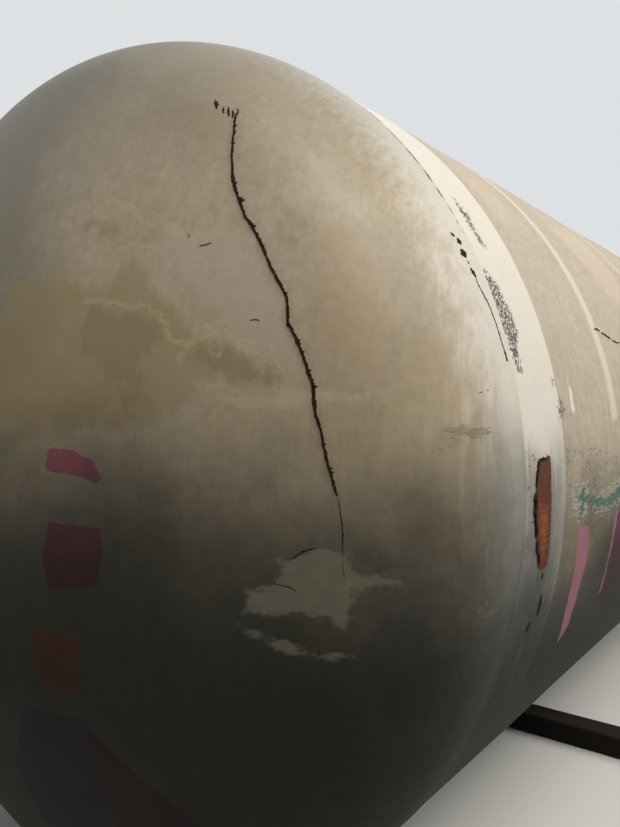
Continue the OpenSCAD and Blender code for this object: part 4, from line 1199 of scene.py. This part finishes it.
# Painted shade: the sleepers' browns are darkened to near black.
wet_sleeper_timber_with_painted_shade = sawn_timber("wet_sawn_hardwood_with_painted_shade", "#110e0b", "#261f19")
for end, seed in (("near", 21), ("far", 22)):
    beam = sleeper("bearer_" + end, seed)
    beam.data.materials.append(wet_sleeper_timber_with_painted_shade)

# Wedges. They are cut from split softwood and driven against the shell from both sides, so
# that it can't roll off its bearers.
wedge_long, saw_waste, steps = 0.300, 0.0006, 46
wedge_timber = sawn_timber("split_softwood_wedge", "#3b3126", "#6b5c47")
for end, seed in (("near", 31), ("far", 32)):
    low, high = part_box("chocks_" + end)
    (middle_x, _, _), (half, half_y, _) = box_of("chocks_" + end)
    tip_h, slope = 0.008, math.tan(math.radians(18))
    for side in (-1, 1):
        tip, heel = low.y + half_y + side * (half_y - wedge_long), side * high.y
        share = np.linspace(0.002, 0.998, steps)
        reach = tip + (heel - tip) * share
        across = np.linspace(-1, 1, 13)
        top = low.z + tip_h + np.abs(reach - tip) * slope
        loop = [(a, 1.0) for a in across] + [(a, 0.0) for a in across[::-1]]
        rough = np.random.default_rng(seed + side)
        furrows = np.abs(np.sin(np.arange(len(loop)) * 1.7 + seed))[None, :]
        fuzz = 0.0005 * rough.random((steps, len(loop))) + 0.0006 * furrows
        gx = middle_x + np.array([a for a, b in loop])[None, :] * (half - saw_waste - fuzz)
        lift = np.array([b for a, b in loop])[None, :]
        gz = low.z + (top[:, None] - low.z - saw_waste - fuzz) * lift
        gy = reach[:, None] + 0 * gx
        body = np.stack([gx, gy, gz], -1)
        ends = body.mean(axis=1, keepdims=True).repeat(len(loop), 1)
        ends[0, :, 1], ends[-1, :, 1] = body[0, 0, 1], body[-1, 0, 1]
        wedge = shut_skin("wedge_%s_%s" % (end, "left" if side < 0 else "right"),
                          np.concatenate([ends[:1], body, ends[-1:]]), sharp=40)
        wedge.data.materials.append(wedge_timber)
        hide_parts("chocks_" + end)

# Camera at the photograph's place, a hand-held 1.5 m above the ground, close to the near head
# and looking along the shell. The lens is the one that the head's outline fits.
camera_from_tangent = Vector((-1.364, -1.787, 0.175))
look_yaw, look_pitch, look_roll = math.radians(38.65), math.radians(-0.46), math.radians(-0.81)
forward = Vector((math.cos(look_pitch) * math.cos(look_yaw),
                  math.cos(look_pitch) * math.sin(look_yaw), math.sin(look_pitch)))
level = forward.cross(Vector((0, 0, 1))).normalized()
upright = level.cross(forward)
right = math.cos(look_roll) * level + math.sin(look_roll) * upright
top = -math.sin(look_roll) * level + math.cos(look_roll) * upright
view = bpy.data.cameras.new("photo_camera")
view.sensor_width = 36.0
view.lens = 29.95
camera = stand("photo_camera", view)
turn = Matrix((right, top, -forward)).transposed().to_4x4()
stands_at = Vector((near_tangent, 0, axis_z)) + camera_from_tangent
camera.matrix_world = Matrix.Translation(stands_at) @ turn
bpy.context.scene.camera = camera

# Plain pale floor and soft studio light. The key hangs high beyond the near side, so the head
# that faces the camera stays in half shade, as it does in the open. The floor keeps the shadow
# and runs out softly into the backdrop.
floor_mesh = bpy.data.meshes.new("studio_floor")
floor_reach = 24.0
floor_ring = [(floor_reach * math.cos(math.radians(a)), floor_reach * math.sin(math.radians(a)), 0)
              for a in range(0, 360, 5)]
corners = len(floor_ring)
floor_mesh.from_pydata([(0, 0, 0)] + floor_ring, [],
                       [(0, k + 1, (k + 1) % corners + 1) for k in range(corners)])
floor = stand("studio_floor", floor_mesh)
floor_paint, tree = new_material("matt_floor")
bounced = add(tree, "LightPath").outputs["Is Diffuse Ray"]
tint = add(tree, "Mix", {0: bounced, 6: linear("#cbcbc7"), 7: linear("#3c3c3a")}, data_type="RGBA")
matt = add(tree, "BsdfPrincipled", {"Base Color": tint.outputs[2], "Roughness": 0.9})
spot = add(tree, "VectorMath", {0: add(tree, "TexCoord").outputs["Object"]},
           operation="LENGTH").outputs["Value"]
far = add(tree, "MapRange", {0: spot, 1: 9.0, 2: 21.0, 3: 0.0, 4: 1.0},
          interpolation_type="SMOOTHSTEP")
away = add(tree, "MixShader", {0: far.outputs[0], 1: matt.outputs[0],
                               2: add(tree, "BsdfTransparent").outputs[0]})
add(tree, "OutputMaterial", {"Surface": away.outputs[0]})
floor_mesh.materials.append(floor_paint)

world = bpy.data.worlds.new("studio")
bpy.context.scene.world = world
world.use_nodes = True
tree = world.node_tree
tree.nodes.clear()
path = add(tree, "LightPath")
seen = add(tree, "Math", {0: path.outputs["Is Camera Ray"], 1: path.outputs["Is Glossy Ray"]},
           operation="MAXIMUM")
seen = add(tree, "Math", {0: seen.outputs[0], 1: path.outputs["Is Transmission Ray"]},
           operation="MAXIMUM")
aloft = add(tree, "SeparateXYZ", {0: add(tree, "TexCoord").outputs["Generated"]}).outputs["Z"]
aloft = add(tree, "MapRange", {0: aloft, 1: 0.0, 2: 0.8, 3: 0.05, 4: 0.5})
soft = add(tree, "Background", {"Color": linear("#eceef0"), "Strength": aloft.outputs[0]})
pale = add(tree, "Background", {"Color": linear("#e9ecee"), "Strength": 0.9})
both = add(tree, "MixShader", {0: seen.outputs[0], 1: soft.outputs[0], 2: pale.outputs[0]})
add(tree, "OutputWorld", {"Surface": both.outputs[0]})


def studio_lamp(name, place, aim, size, watts, tint):
    """Adds a soft square lamp that faces a point."""
    lamp = bpy.data.lights.new(name, "AREA")
    lamp.size = size
    lamp.energy = watts
    lamp.color = linear(tint)[:3]
    made = stand(name, lamp)
    made.location = place
    made.rotation_mode = "QUATERNION"
    made.rotation_quaternion = (Vector(aim) - Vector(place)).to_track_quat("-Z", "Y")


studio_lamp("key_lamp", (1.0, -10.5, 9.5), (-3.0, 0, 1.4), 8.0, 1200, "#fffaf3")
studio_lamp("front_lamp", (-8.0, -7.0, 13.0), (-5.0, 0, 1.6), 7.0, 1230, "#fffaf3")

# Display: the plain view transform, so that colours show as they are set.
bpy.context.scene.view_settings.view_transform = "Standard"
